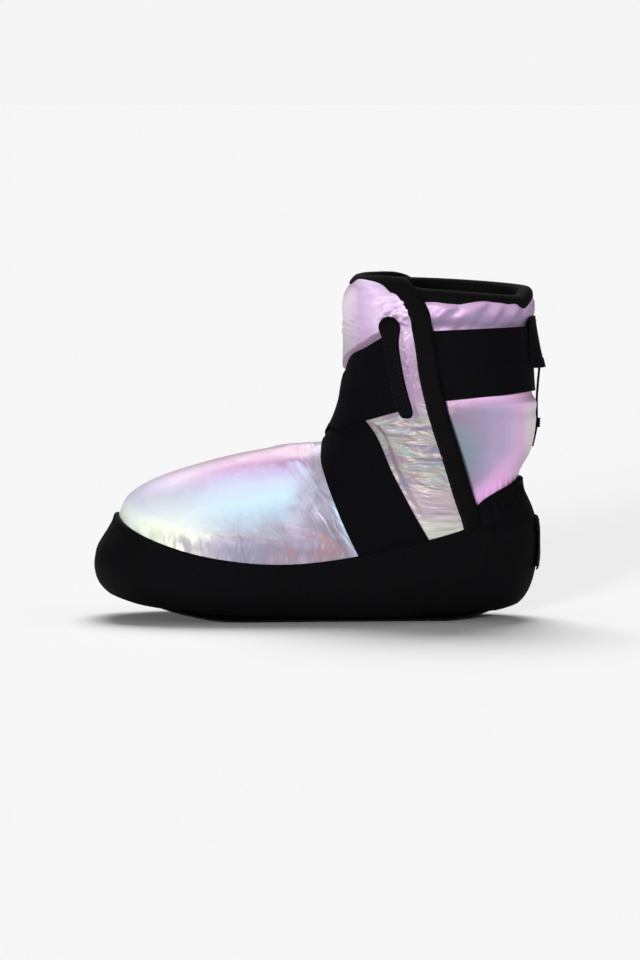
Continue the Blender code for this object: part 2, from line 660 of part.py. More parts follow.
# Elastic again where it leaves the slot: over the front, then down to the inner rand
def over_the_instep(row):
    """The upper strap rises over the lower one where they cross."""
    risen = smoothstep((row - 0.1) / 0.8) * (1 - smoothstep((row - 5.3) / 1.5))
    return STRAP_CLEAR + CROSSING_LIFT * risen


ankle_strap = band("ankle_strap", ANKLE_REAR, ANKLE_FRONT, lambda row: dress_tree,
                   over_the_instep, elastic)

# Back tab: a curved tab at the top of the elastic that stands off towards its lower edge
tab_inner, tab_outer = [], []
for z in np.linspace(TAB_TOP_Z, TAB_LOW_Z, 6):
    inner_row, outer_row = [], []
    for y in np.linspace(-TAB_HALF_WIDTH, TAB_HALF_WIDTH, 9):
        spot, normal = skin_tree.ray_cast(Vector((RAY_START, y, z)), Vector((-1, 0, 0)))[:2]
        seat = TAB_SEAT + TAB_STAND_OFF * ((TAB_TOP_Z - z) / (TAB_TOP_Z - TAB_LOW_Z)) ** TAB_CURL
        away = np.array(normal) * math.copysign(1.0, normal.x)
        inner_row.append(np.array(spot) + away * seat)
        outer_row.append(np.array(spot) + away * (seat + TAB_THICK))
    tab_inner.append(inner_row)
    tab_outer.append(outer_row)
back_tab = patch_shell("back_tab", tab_outer, tab_inner, elastic)

# Heel label: a thin bare patch on the back of the rand
label_inner, label_outer = [], []
for z in np.linspace(LABEL_TOP_Z, LABEL_LOW_Z, 6):
    inner_row, outer_row = [], []
    for y in np.linspace(-LABEL_HALF_WIDTH, LABEL_HALF_WIDTH, 7):
        spot, normal = rand_tree.ray_cast(Vector((RAY_START, y, z)), Vector((-1, 0, 0)))[:2]
        away = np.array(normal) * math.copysign(1.0, normal.x)
        inner_row.append(np.array(spot) + away * LABEL_SEAT)
        outer_row.append(np.array(spot) + away * (LABEL_SEAT + LABEL_THICK))
    label_inner.append(inner_row)
    label_outer.append(outer_row)
heel_label = patch_shell("heel_label", label_outer, label_inner, label_cloth)

# Outsole: a soft plate, flat under heel and forefoot, narrow at the arch
builder = bmesh.new()
sole_rings = []
for x, outer_y, inner_y in through(SOLE, 3):
    low = spring_z(x)
    high = low + OUTSOLE_THICK
    sole_rings.append([(x, outer_y, low + SOLE_EDGE), (x, outer_y, high), (x, inner_y, high),
                       (x, inner_y, low + SOLE_EDGE), (x, inner_y - SOLE_EDGE, low),
                       (x, outer_y + SOLE_EDGE, low)])
sole_grid = lattice(builder, sole_rings, True)
builder.faces.new(sole_grid[0])
builder.faces.new(sole_grid[-1])
outsole = add_object("outsole", builder, sole_rubber)

# Drawcord: out from under the tab, down the back to its stopper knot and short tail
def cord(name, route, steps):
    curve = bpy.data.curves.new(name, "CURVE")
    curve.dimensions = "3D"
    curve.bevel_depth = CORD_RADIUS * MM
    curve.bevel_resolution = 2
    curve.use_fill_caps = True
    points = through(route, steps)
    spline = curve.splines.new("POLY")
    spline.points.add(len(points) - 1)
    for spot, point in zip(spline.points, points):
        spot.co = (*(point * MM), 1.0)
    thing = bpy.data.objects.new(name, curve)
    bpy.context.collection.objects.link(thing)
    curve.materials.append(cord_finish)
    return thing


drawcord = cord("drawcord", CORD_ROUTE, 2)
drawcord_tail = cord("drawcord_tail", TAIL_ROUTE, 2)
builder = bmesh.new()
bmesh.ops.create_uvsphere(builder, u_segments=10, v_segments=6, radius=1.0)
bmesh.ops.scale(builder, vec=KNOT_HALF, verts=builder.verts)
bmesh.ops.translate(builder, vec=KNOT_CENTRE, verts=builder.verts)
drawcord_knot = add_object("drawcord_knot", builder, cord_finish)
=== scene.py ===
# %% [markdown]
# # A padded dance warm-up boot
# Dancers pull this boot on to keep their feet warm. Shiny cloth is sewn over soft filling, a black padded
# cup called the rand holds the foot, and one long elastic crosses over the instep.
# The solid model is loaded first. Everything below is laid on its form, at the same size and place.

# %% Load the solid model
import math
from collections import namedtuple

import bmesh
import bpy
import numpy as np
from mathutils import Matrix, Vector
from mathutils.bvhtree import BVHTree


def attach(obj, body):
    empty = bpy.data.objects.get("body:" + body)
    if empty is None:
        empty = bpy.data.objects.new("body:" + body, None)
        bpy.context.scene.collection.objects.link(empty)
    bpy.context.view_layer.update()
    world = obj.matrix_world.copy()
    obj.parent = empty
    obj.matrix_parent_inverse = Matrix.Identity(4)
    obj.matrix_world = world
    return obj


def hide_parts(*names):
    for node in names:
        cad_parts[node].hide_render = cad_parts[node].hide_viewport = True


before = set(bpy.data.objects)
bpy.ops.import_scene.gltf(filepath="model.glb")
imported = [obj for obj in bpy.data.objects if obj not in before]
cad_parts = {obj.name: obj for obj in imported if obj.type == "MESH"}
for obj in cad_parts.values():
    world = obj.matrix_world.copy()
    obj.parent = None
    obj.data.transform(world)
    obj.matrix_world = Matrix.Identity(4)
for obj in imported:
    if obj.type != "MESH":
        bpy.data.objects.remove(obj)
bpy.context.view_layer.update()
MM = 0.001

# %% [markdown]
# The picture looks straight at the outer side from far away, a few degrees above the floor.
# A long lens far off keeps the perspective flat. The lens follows from how much of the boot one picture
# pixel covers, and the target from where the boot stands in the picture.

# %% Camera
IMAGE_HEIGHT = 960
PIXEL_SIZE = 0.63 * MM
CAMERA_DISTANCE = 4.0
CAMERA_ELEVATION = math.radians(4.0)
CAMERA_TARGET = Vector((0.9, 0.0, 86.6)) * MM

towards_camera = Vector((0.0, -math.cos(CAMERA_ELEVATION), math.sin(CAMERA_ELEVATION)))
camera = bpy.data.objects.new("camera", bpy.data.cameras.new("camera"))
bpy.context.scene.collection.objects.link(camera)
camera.location = CAMERA_TARGET + towards_camera * CAMERA_DISTANCE
camera.rotation_euler = (-towards_camera).to_track_quat("-Z", "Y").to_euler()
camera.data.lens = camera.data.sensor_width * CAMERA_DISTANCE / (IMAGE_HEIGHT * PIXEL_SIZE)
bpy.context.scene.camera = camera
print("lens", round(camera.data.lens), "mm")

# %% [markdown]
# Shader sums read best as plain Python. This class wraps one socket, so that `1 - mask` adds a Math node.
# Any other node comes from its one method `node`: settings first, then values or links for the sockets.


# %% A wrapper for shader sockets
class Wire:
    """One shader socket, or just a tree to add nodes to."""

    def __init__(self, tree, socket=None):
        self.tree = tree
        self.socket = socket

    def node(self, kind, sockets=None, output=0, stops=None, **settings):
        made = self.tree.nodes.new(kind)
        for name, value in settings.items():
            setattr(made, name, value)
        if stops:
            while len(made.color_ramp.elements) < len(stops):
                made.color_ramp.elements.new(1.0)
            for element, (position, colour) in zip(made.color_ramp.elements, stops):
                element.position = position
                element.color = (*colour, 1.0)
        for name, value in (sockets or {}).items():
            self.plug(made.inputs[name], value)
        return Wire(self.tree, made.outputs[output])

    def plug(self, target, value):
        if isinstance(value, Wire):
            self.tree.links.new(value.socket, target)
        else:
            target.default_value = value

    def maths(self, operation, first, second=0.0):
        return self.node("ShaderNodeMath", {0: first, 1: second}, operation=operation)

    def __add__(self, other):
        return self.maths("ADD", self, other)

    def __radd__(self, other):
        return self.maths("ADD", other, self)

    def __sub__(self, other):
        return self.maths("SUBTRACT", self, other)

    def __rsub__(self, other):
        return self.maths("SUBTRACT", other, self)

    def __mul__(self, other):
        return self.maths("MULTIPLY", self, other)

    def __rmul__(self, other):
        return self.maths("MULTIPLY", other, self)

    def __pow__(self, other):
        return self.maths("POWER", self, other)

    def sine(self):
        return self.maths("SINE", self)

    def ease(self, low, high):
        """0 at low, 1 at high, smooth between; low may be the larger."""
        return self.node("ShaderNodeMapRange", {"Value": self, "From Min": low, "From Max": high},
                         interpolation_type="SMOOTHSTEP")

    def blend(self, first, second):
        """A colour: first where this is 0, second where it is 1."""
        return self.node("ShaderNodeMix", {0: self, 6: first, 7: second}, output=2, data_type="RGBA")

    def ramp(self, stops):
        return self.node("ShaderNodeValToRGB", {"Fac": self}, stops=stops)

    def split(self):
        parts = self.tree.nodes.new("ShaderNodeSeparateXYZ")
        self.tree.links.new(self.socket, parts.inputs[0])
        return [Wire(self.tree, socket) for socket in parts.outputs]

    def noise(self, scale, detail=2.0, distortion=0.0):
        """Cloudy noise from 0 to 1 on these coordinates, scale in blotches a metre."""
        return self.node("ShaderNodeTexNoise", {"Vector": self, "Scale": scale, "Detail": detail,
                                                "Distortion": distortion})

    def bump(self, height, strength, distance):
        return self.node("ShaderNodeBump", {"Height": height, "Strength": strength, "Distance": distance})


print("shader wrapper ready")

# %% [markdown]
# A finish is a Principled material. Most of its sockets are constants, and the wrapper feeds the others.
# Colours are easiest to name as screen values, which a shader needs as linear light.


# %% Colours and finishes
def tint(red, green, blue):
    """A screen colour, 0 to 255, as the linear light that shaders use."""
    return tuple((c / 255 / 12.92) if c < 11 else ((c / 255 + 0.055) / 1.055) ** 2.4
                 for c in (red, green, blue))


def new_finish(name, constants):
    """A Principled material with its constant sockets set."""
    finish = bpy.data.materials.new(name)
    finish.use_nodes = True
    shader = finish.node_tree.nodes["Principled BSDF"]
    for socket, value in constants.items():
        shader.inputs[socket].default_value = value
    return finish, Wire(finish.node_tree), shader.inputs


print("white is", tint(255, 255, 255), "and a mid grey", round(tint(128, 128, 128)[0], 3))

# %% [markdown]
# A studio table for small goods is a pale sweep under even light. The world gives that light, most of it
# from above. Two suns add direction: a wide one high behind the boot draws its shadow forward, a narrower one
# low in front shows its side. Unlike lamps, suns light a floor the same all over.
# The floor is so large that its edge meets a world of the same pale grey.

# %% Floor and light
PALE = 0.913
SKY_LOW = 0.07
SKY_GAIN = 0.15
FLOOR_HALF = 30.0
FLOOR_GREY = 0.94
scene = bpy.context.scene
scene.view_settings.view_transform = "Standard"
scene.world = bpy.data.worlds.new("studio")
scene.world.use_nodes = True
sky = Wire(scene.world.node_tree)
sky_output = scene.world.node_tree.nodes["World Output"].inputs["Surface"]
height = sky.node("ShaderNodeTexCoord", output="Generated").split()[2]
overhead = sky.node("ShaderNodeBackground", {"Strength": SKY_LOW + SKY_GAIN * height.ease(0.1, 0.6)})
seen_behind = sky.node("ShaderNodeBackground", {"Color": (PALE, PALE, PALE, 1.0), "Strength": 1.0})
straight = sky.node("ShaderNodeLightPath", output="Is Camera Ray")
sky.plug(sky_output, sky.node("ShaderNodeMixShader", {0: straight, 1: overhead, 2: seen_behind}))


def add_sun(name, strength, place, width):
    """A sun that shines from a place to the middle of the floor, its width in degrees."""
    lamp = bpy.data.lights.new(name, "SUN")
    lamp.energy = strength
    lamp.angle = math.radians(width)
    sun = bpy.data.objects.new(name, lamp)
    scene.collection.objects.link(sun)
    sun.location = place
    sun.rotation_euler = (-Vector(place)).to_track_quat("-Z", "Y").to_euler()


add_sun("overhead_sun", 2.85, (-0.02, 0.74, 1.0), 40)
add_sun("front_sun", 3.0, (-0.4, -1.6, 0.17), 9)

builder = bmesh.new()
bmesh.ops.create_grid(builder, x_segments=1, y_segments=1, size=FLOOR_HALF)
floor_mesh = bpy.data.meshes.new("floor")
builder.to_mesh(floor_mesh)
builder.free()
floor = bpy.data.objects.new("floor", floor_mesh)
scene.collection.objects.link(floor)
pale_finish, _, pale_sockets = new_finish("pale_floor", {"Roughness": 1.0, "Specular IOR Level": 0.0})
pale_sockets["Base Color"].default_value = (FLOOR_GREY, FLOOR_GREY, FLOOR_GREY, 1.0)
floor_mesh.materials.append(pale_finish)
print("floor and", len(bpy.data.lights), "lights")

# %% [markdown]
# A shoemaker starts from a last, a wooden form of the foot. Here the last is a short table: one row for each
# section, upright at the toe, fanning through the ankle and level at the collar. Sizes are millimetres.

# %% The last
Section = namedtuple("Section", "top_x top_z low_x low_z half_width middle round_top round_low bend")
LAST = np.array([
    Section(-130.4, 48.0, -133.2, 38.5, 6.0, 0.50, 2.0, 2.0, 6.0),
    Section(-128.0, 58.5, -133.0, 31.0, 17.0, 0.46, 2.0, 2.1, 5.8),
    Section(-124.6, 68.0, -130.4, 25.0, 27.5, 0.42, 2.0, 2.3, 5.4),
    Section(-116.4, 78.3, -122.5, 19.5, 37.5, 0.38, 2.1, 2.5, 4.6),
    Section(-101.0, 87.0, -106.0, 15.0, 45.5, 0.35, 2.1, 3.1, 3.4),
    Section(-80.0, 94.3, -82.0, 11.2, 50.0, 0.33, 2.1, 3.4, 2.0),
    Section(-52.0, 101.7, -52.0, 8.4, 51.5, 0.33, 2.1, 3.5, 0.6),
    Section(-22.0, 107.2, -20.0, 8.0, 49.5, 0.33, 2.1, 3.5, -0.6),
    Section(1.0, 110.2, 37.0, 8.0, 46.5, 0.36, 2.1, 3.3, -1.0),
    Section(11.0, 118.0, 66.0, 8.0, 45.0, 0.40, 2.1, 3.0, -0.8),
    Section(18.5, 133.0, 98.0, 9.6, 44.0, 0.45, 2.1, 2.6, -0.4),
    Section(22.0, 144.0, 121.5, 16.5, 43.5, 0.48, 2.1, 2.3, 0.0),
    Section(23.3, 152.5, 129.6, 40.0, 43.5, 0.50, 2.1, 2.2, 0.0),
    Section(23.8, 160.5, 128.2, 67.0, 44.0, 0.50, 2.1, 2.2, 0.0),
    Section(24.0, 168.0, 126.0, 89.5, 45.0, 0.50, 2.1, 2.2, 0.0),
    Section(24.0, 177.0, 133.2, 109.0, 47.0, 0.50, 2.1, 2.2, 0.0),
    Section(24.0, 184.0, 135.8, 130.5, 48.5, 0.50, 2.1, 2.2, 0.0),
    Section(24.3, 191.5, 133.4, 150.0, 49.0, 0.50, 2.1, 2.2, 0.0),
    Section(25.2, 201.0, 132.4, 178.0, 49.0, 0.50, 2.1, 2.2, 0.0),
    Section(29.4, 211.0, 132.0, 205.2, 49.5, 0.50, 2.1, 2.2, 0.0),
    Section(36.0, 220.5, 131.5, 215.2, 49.5, 0.50, 2.1, 2.2, 0.0),
])
print("last:", len(LAST), "sections,", round(LAST[:, 2].max() - LAST[:, 0].min()), "mm long")

# %% [markdown]
# A smooth curve runs through the rows of the last, so any place between two rows has a section too. Each
# section is an oval, squarer where its columns round_top and round_low are higher. A point needs two numbers:
# its place in the table and its turn round the section. Small steps in both give the outward direction.

# %% Points of the last
COLLAR = 19.0
RIM_SAG = 0.24
STEP_PLACE = 0.02
STEP_TURN = 1.5


def smoothstep(value):
    """0 below 0, 1 above 1, and a smooth step between."""
    value = np.clip(value, 0.0, 1.0)
    return value * value * (3.0 - 2.0 * value)


def hill(value, centre, width):
    """A soft hump: 1 at its centre, close to 0 at twice its width away."""
    return np.exp(-((value - centre) / width) ** 2)


def rim_place(turn):
    """Where the collar's rim is: it sags on the outer side, behind the flap. Turns are in degrees."""
    turn = np.mod(turn, 360.0)
    return COLLAR - RIM_SAG * smoothstep((turn - 42.0) / 32.0) * (1 - smoothstep((turn - 150.0) / 22.0))


def spline_between(before, here, there, after, f):
    """The smooth curve from here to there that its neighbours steer."""
    return 0.5 * (2 * here + (there - before) * f + (2 * before - 5 * here + 4 * there - after) * f ** 2
                  + (3 * here - before - 3 * there + after) * f ** 3)


def section_at(place):
    """The section at a place in the table, also between two rows."""
    final = len(LAST) - 1
    row = np.clip(np.floor(place).astype(int), 0, final - 1)
    mixed = spline_between(LAST[np.maximum(row - 1, 0)], LAST[row], LAST[row + 1],
                           LAST[np.minimum(row + 2, final)], (place - row)[..., None])
    return Section(*np.moveaxis(mixed, -1, 0))


def last_point(place, turn):
    """A point of the last: turn is 0 at the top or front, 90 on the outer side, 180 at the sole."""
    part = section_at(place)
    up = np.cos(np.radians(turn))
    out = np.sin(np.radians(turn))
    power = 2.0 / np.where(up >= 0, part.round_top, part.round_low)
    arm = np.where(up >= 0, 1.0 - part.middle, part.middle)
    along = part.middle + np.sign(up) * arm * np.abs(up) ** power
    x = part.low_x + along * (part.top_x - part.low_x)
    z = part.low_z + along * (part.top_z - part.low_z)
    y = part.bend - np.sign(out) * part.half_width * np.abs(out) ** power
    return np.stack([x, y, z], axis=-1)


def last_frame(place, turn):
    """Points of the last and the outward normals there."""
    ahead = last_point(np.minimum(place + STEP_PLACE, len(LAST) - 1.0), turn)
    behind = last_point(np.maximum(place - STEP_PLACE, 0.0), turn)
    sideways = last_point(place, turn + STEP_TURN) - last_point(place, turn - STEP_TURN)
    normal = np.cross(sideways, ahead - behind)
    normal /= np.linalg.norm(normal, axis=-1, keepdims=True)
    return last_point(place, turn), normal


def lifted(points, normals, lift):
    """Points moved out along their normals."""
    return points + normals * np.asarray(lift)[..., None]


print("front of the collar", last_point(np.array(COLLAR), np.array(0.0)).round(1), "mm")

# %% [markdown]
# Two edges rule the design in side view: the top of the rand, which dips along the foot and steps up at the
# heel, and the open edge of the flap, which climbs the ankle and turns forward at the top. Each is a few
# spots with a smooth curve through them. The sole is flat from ball to heel and springs up at toe and heel.

# %% Edges of the rand and the flap
Spring = namedtuple("Spring", "start run height power")
TOE_SPRING = Spring(-50.0, 70.0, 15.5, 1.8)
HEEL_SPRING = Spring(78.0, 36.0, 7.6, 1.6)
Spot = namedtuple("Spot", "x z")
RAND_EDGE = [
    Spot(-150.0, 86.0), Spot(-131.0, 68.0), Spot(-127.0, 64.2), Spot(-122.5, 60.6),
    Spot(-112.5, 55.0), Spot(-97.3, 48.8), Spot(-74.7, 42.2), Spot(-46.9, 37.8),
    Spot(-21.7, 36.5), Spot(-1.6, 37.8), Spot(24.3, 41.6), Spot(45.0, 46.6), Spot(69.6, 51.7),
    Spot(92.0, 58.2), Spot(97.4, 61.6), Spot(100.4, 73.6), Spot(113.0, 81.6), Spot(126.0, 87.8),
    Spot(150.0, 101.0),
]
FLAP_EDGE = [
    Spot(103.5, 40.0), Spot(101.2, 60.5), Spot(94.6, 80.6), Spot(88.6, 100.8), Spot(80.4, 126.0),
    Spot(77.6, 136.1), Spot(72.9, 156.2), Spot(71.0, 171.4), Spot(68.2, 186.5), Spot(65.8, 197.0),
    Spot(62.6, 205.0), Spot(56.5, 211.4), Spot(47.0, 215.2), Spot(36.0, 216.2), Spot(20.0, 216.4),
    Spot(0.0, 216.6),
]


def through(points, steps):
    """A smooth curve through a few points, with a number of steps in each span."""
    rows = np.array(points, float)
    rows = np.vstack([2 * rows[0] - rows[1], rows, 2 * rows[-1] - rows[-2]])
    spans = [spline_between(*rows[i:i + 4], f)
             for i in range(len(rows) - 3) for f in np.arange(steps) / steps]
    return np.array(spans + [rows[-2]])


def run_along(line):
    """The distance along a line, at each of its points."""
    return np.concatenate([[0.0], np.cumsum(np.linalg.norm(np.diff(line, axis=0), axis=1))])


def at_run(distance, run, line):
    """The points of a line at given distances along it."""
    return np.stack([np.interp(distance, run, line[:, i]) for i in range(3)], axis=-1)


def at_row(row, table):
    """The columns of a table, read between its rows."""
    return [np.interp(row, np.arange(len(table)), column) for column in table.T]


RAND_LINE = through(RAND_EDGE, 4)
FLAP_LINE = through(FLAP_EDGE, 4)


def rand_edge_z(x):
    """Height of the rand's top edge."""
    return np.interp(x, RAND_LINE[:, 0], RAND_LINE[:, 1])


def flap_edge_x(z):
    """Where the flap's open edge is, at a height."""
    return np.interp(z, FLAP_LINE[:, 1], FLAP_LINE[:, 0])


def flap_top_z(x):
    """Height of the flap's edge, read along its top."""
    return np.interp(x, FLAP_LINE[::-1, 0], FLAP_LINE[::-1, 1])


def spring_z(x):
    """Height of the sole's underside."""
    toe = np.clip((TOE_SPRING.start - x) / TOE_SPRING.run, 0.0, None)
    heel = np.clip((x - HEEL_SPRING.start) / HEEL_SPRING.run, 0.0, None)
    return TOE_SPRING.height * toe ** TOE_SPRING.power + HEEL_SPRING.height * heel ** HEEL_SPRING.power


print("rand edge", len(RAND_LINE), "points, flap edge", len(FLAP_LINE), "points")

# %% [markdown]
# From these edges follows how far the cloth stands off the last: thin at seams, full between them. The flap's
# padding also thins out under the elastic, where it has no slack. Every number in these sums is a length in
# millimetres, a place in the table of the last, or a share from 0 to 1.

# %% How far the flap stands off
GAP = 0.3
FLAP_CLEAR = 2.8
FLAP_THIN = 1.6
FLAP_PAD = 4.4
FLAP_FIRST = 9.0
FLAP_LAST = 20.0
FLAP_TOP_Z = 217.0


def flap_lift(place, point, slack=1.0):
    """How far the flap's face stands off the last: thin at its seams and top, and where it has no slack."""
    x, y, z = np.moveaxis(point, -1, 0)
    from_edge = flap_edge_x(z) - x
    above_rand = z - rand_edge_z(x)
    foot = smoothstep(above_rand / 30.0) * smoothstep((place - FLAP_FIRST) / 2.4)
    inside = smoothstep(from_edge / 24.0)
    pad = np.where(y < 0, foot * (0.55 + 0.45 * inside), foot * inside)
    crown = 0.1 + 0.9 * smoothstep((FLAP_TOP_Z - z) / 17.0)
    sewn = np.maximum(smoothstep(from_edge / 14.0), smoothstep((z - 185.0) / 8.0))
    inner = GAP + (FLAP_CLEAR - GAP) * np.where(y < 0, foot, foot * sewn)
    return inner + FLAP_THIN * smoothstep((above_rand + 3.0) / 12.0) + FLAP_PAD * pad * crown * slack


def dress_lift(place, point, slack=1.0):
    """How far the closed boot stands off the last, eased down beyond the flap's sewn edges."""
    x, y, z = np.moveaxis(point, -1, 0)
    past_edge = x - flap_edge_x(z)
    on_flap = (place >= FLAP_FIRST) & (past_edge < 0)
    ease_front = smoothstep(place - FLAP_FIRST + 1.0) * (place < FLAP_FIRST)
    ease_edge = (1 - smoothstep(past_edge / 12.0)) * (place >= FLAP_FIRST) * (y > 0)
    ease = np.maximum(ease_front, ease_edge) * smoothstep((z - rand_edge_z(x) + 3.0) / 12.0)
    return np.where(on_flap, flap_lift(place, point, slack), (GAP + FLAP_THIN) * ease)


print("flap", FLAP_THIN, "mm thick at its seams,", FLAP_THIN + FLAP_PAD, "mm where it is full")

# %% [markdown]
# To lay straps, tape and tabs on the boot, a script needs to ask "where is the surface here?". A search tree
# on a fine grid of the last answers with the nearest point, or with the point that a straight ray meets.
# There is a tree for the bare last and one for the rand. The one for the closed flap comes with the elastic.

# %% Surfaces to lay things on
Place = namedtuple("Place", "x z side")
RAY_START = 300.0
GRID_ROWS = 200
GRID_TURN = 2.5
RAND_LIP = 1.9
RAND_BULGE = 6.1
RAND_RAMP = 30.0
CORE = np.array([(-120.0, 4.0, 45.0), (-40.0, 0.0, 50.0), (55.0, 0.0, 75.0), (78.0, 0.0, 220.0)])


def surface_tree(points):
    """A search tree on a grid of points, closed round its rows."""
    rows, columns = points.shape[:2]
    corner = np.arange(rows - 1)[:, None] * columns + np.arange(columns)
    following = np.arange(rows - 1)[:, None] * columns + (np.arange(columns) + 1) % columns
    faces = np.stack([corner, following, following + columns, corner + columns], axis=-1).reshape(-1, 4)
    return BVHTree.FromPolygons(points.reshape(-1, 3).tolist(), faces.tolist())


def rand_lift(point):
    """How far the rand stands off the last: a thin lip at its edge, full below."""
    depth = rand_edge_z(point[..., 0]) - point[..., 2]
    return GAP + RAND_LIP + RAND_BULGE * smoothstep(depth / RAND_RAMP)


grid_place, grid_turn = np.meshgrid(np.linspace(0.0, FLAP_LAST, GRID_ROWS),
                                    np.arange(0.0, 360.0, GRID_TURN), indexing="ij")
form, form_normal = last_frame(grid_place, grid_turn)
skin_tree = surface_tree(form)
rand_tree = surface_tree(lifted(form, form_normal, rand_lift(form)))


def land(tree, place):
    """Where a ray from the named side meets a surface."""
    starts = {
        "outer": ((place.x, -RAY_START, place.z), (0, 1, 0)),
        "inner": ((place.x, RAY_START, place.z), (0, -1, 0)),
        "front": ((-RAY_START, 0.0, place.z), (1, 0, 0)),
        "back": ((RAY_START, 0.0, place.z), (-1, 0, 0)),
        "top": ((place.x, 0.0, RAY_START), (0, 0, -1)),
    }
    return np.array(tree.ray_cast(*map(Vector, starts[place.side]))[0])


def core_point(point):
    """The nearest point of a line that runs inside the boot, from the toe to the collar."""
    near = []
    for start, end in zip(CORE[:-1], CORE[1:]):
        f = np.clip(np.dot(point - start, end - start) / np.dot(end - start, end - start), 0, 1)
        near.append(start + (end - start) * f)
    return min(near, key=lambda spot: np.linalg.norm(point - spot))


def rest_on(tree, point):
    """The nearest point of a surface and its normal, turned away from the boot's inside."""
    spot, normal = tree.find_nearest(Vector(point))[:2]
    normal = np.array(normal)
    return np.array(spot), normal * math.copysign(1.0, np.dot(normal, point - core_point(point)))


def path_frames(line, tree):
    """Point, across and outward directions along a line that lies on a surface."""
    frames = []
    for k, point in enumerate(line):
        heading = line[min(k + 1, len(line) - 1)] - line[max(k - 1, 0)]
        outward = rest_on(tree, point)[1]
        across = np.cross(heading, outward)
        frames.append((point, across / np.linalg.norm(across), outward))
    return [np.array(part) for part in zip(*frames)]


print("surface trees on", form.shape[0] * form.shape[1], "points")

# %% [markdown]
# Every cloth piece below starts as a flat bmesh grid, whose vertices then move onto a surface function of
# u and v, from 0 to 1. The grid keeps its u and v, in metres of cloth, as a UV map for weave and ribs.
# `wear` then dresses the mesh as an object: smooth shading, thickness, finish, and its place on the boot.

# %% Helpers that make a piece
MERGE = 1e-6
SAMPLE_FACES = 200
SHARP_ANGLE = math.radians(50)
WALL_CLAMP = 2.0


def cloth_grid(columns, rows, shape, cloth_size, ring=False):
    """A grid moved onto a surface. Shape takes arrays u and v and gives points in millimetres."""
    builder = bmesh.new()
    bmesh.ops.create_grid(builder, x_segments=columns, y_segments=rows, size=0.5)
    flat = np.array([vert.co for vert in builder.verts]) + 0.5
    points = shape(flat[:, 0], flat[:, 1]) * MM
    uv_layer = builder.loops.layers.uv.new("cloth")
    for face in builder.faces:
        for loop in face.loops:
            u, v = flat[loop.vert.index, :2]
            loop[uv_layer].uv = (u * cloth_size[0] * MM, v * cloth_size[1] * MM)
    for vert, point in zip(builder.verts, points):
        vert.co = point
    if ring:
        bmesh.ops.remove_doubles(builder, verts=builder.verts, dist=MERGE)
    return builder


def face_out(builder):
    """Turn every face away from the boot's inside, judged by a sample of them."""
    builder.normal_update()
    builder.faces.ensure_lookup_table()
    sample = list(builder.faces)[::max(1, len(builder.faces) // SAMPLE_FACES)]
    centres = [np.array(face.calc_center_median()) / MM for face in sample]
    signs = [np.dot(face.normal, spot - core_point(spot)) for face, spot in zip(sample, centres)]
    if sum(np.sign(signs)) < 0:
        bmesh.ops.reverse_faces(builder, faces=builder.faces)


def wear(name, builder, finish, node, thick=0.0):
    """Make the finished object: thickness goes inward from the modelled face."""
    mesh = bpy.data.meshes.new(name)
    builder.to_mesh(mesh)
    builder.free()
    piece = bpy.data.objects.new(name, mesh)
    scene.collection.objects.link(piece)
    mesh.materials.append(finish)
    mesh.shade_smooth()
    mesh.set_sharp_from_angle(angle=SHARP_ANGLE)
    if thick:
        wall = piece.modifiers.new("wall", "SOLIDIFY")
        wall.thickness = thick * MM
        wall.offset = -1.0
        wall.use_even_offset = True
        wall.thickness_clamp = WALL_CLAMP
    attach(piece, "root")
    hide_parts(node)
    print(name, len(mesh.polygons), "faces")
    return piece


print("helpers ready")

# %% [markdown]
# One long elastic makes the cross. It leaves the outer rand, runs over the instep and round the back, comes
# out through a slot in the flap and crosses itself down to the inner rand. Two rows of places mark the edges
# of each run, as they look from a side of the boot.

# %% Places of the elastic
INSTEP_FRONT = [
    Place(27.5, 35.0, "outer"), Place(15.9, 58.2, "outer"), Place(7.5, 78.1, "outer"),
    Place(3.0, 91.0, "outer"), Place(0.9, 101.0, "outer"), Place(5.0, 0.0, "top"),
    Place(12.0, 117.0, "inner"), Place(31.0, 126.0, "inner"), Place(54.0, 133.5, "inner"),
    Place(84.0, 139.5, "inner"), Place(112.0, 141.5, "inner"), Place(0.0, 142.4, "back"),
    Place(112.0, 141.5, "outer"), Place(90.0, 139.8, "outer"), Place(63.0, 137.0, "outer"),
]
INSTEP_REAR = [
    Place(74.0, 45.0, "outer"), Place(62.8, 64.0, "outer"), Place(55.5, 77.5, "outer"),
    Place(46.5, 95.0, "outer"), Place(35.5, 120.0, "outer"), Place(0.0, 148.0, "front"),
    Place(24.0, 166.0, "inner"), Place(40.0, 177.0, "inner"), Place(62.0, 182.5, "inner"),
    Place(88.0, 184.5, "inner"), Place(113.0, 185.3, "inner"), Place(0.0, 185.4, "back"),
    Place(113.0, 185.3, "outer"), Place(88.0, 184.5, "outer"), Place(58.0, 183.0, "outer"),
]
ANKLE_REAR = [
    Place(45.0, 182.5, "outer"), Place(31.0, 172.8, "outer"), Place(22.5, 167.0, "outer"),
    Place(0.0, 156.0, "front"), Place(26.0, 139.0, "inner"), Place(33.0, 120.0, "inner"),
    Place(44.5, 95.0, "inner"), Place(62.8, 64.0, "inner"), Place(74.0, 45.0, "inner"),
]
ANKLE_FRONT = [
    Place(55.0, 133.0, "outer"), Place(35.0, 126.5, "outer"), Place(15.5, 118.5, "outer"),
    Place(8.0, 0.0, "top"), Place(5.5, 103.0, "inner"), Place(5.6, 91.0, "inner"),
    Place(8.5, 78.1, "inner"), Place(17.5, 55.0, "inner"), Place(27.5, 35.0, "inner"),
]
print("elastic places:", len(INSTEP_FRONT), "on the instep,", len(ANKLE_FRONT), "on the ankle")

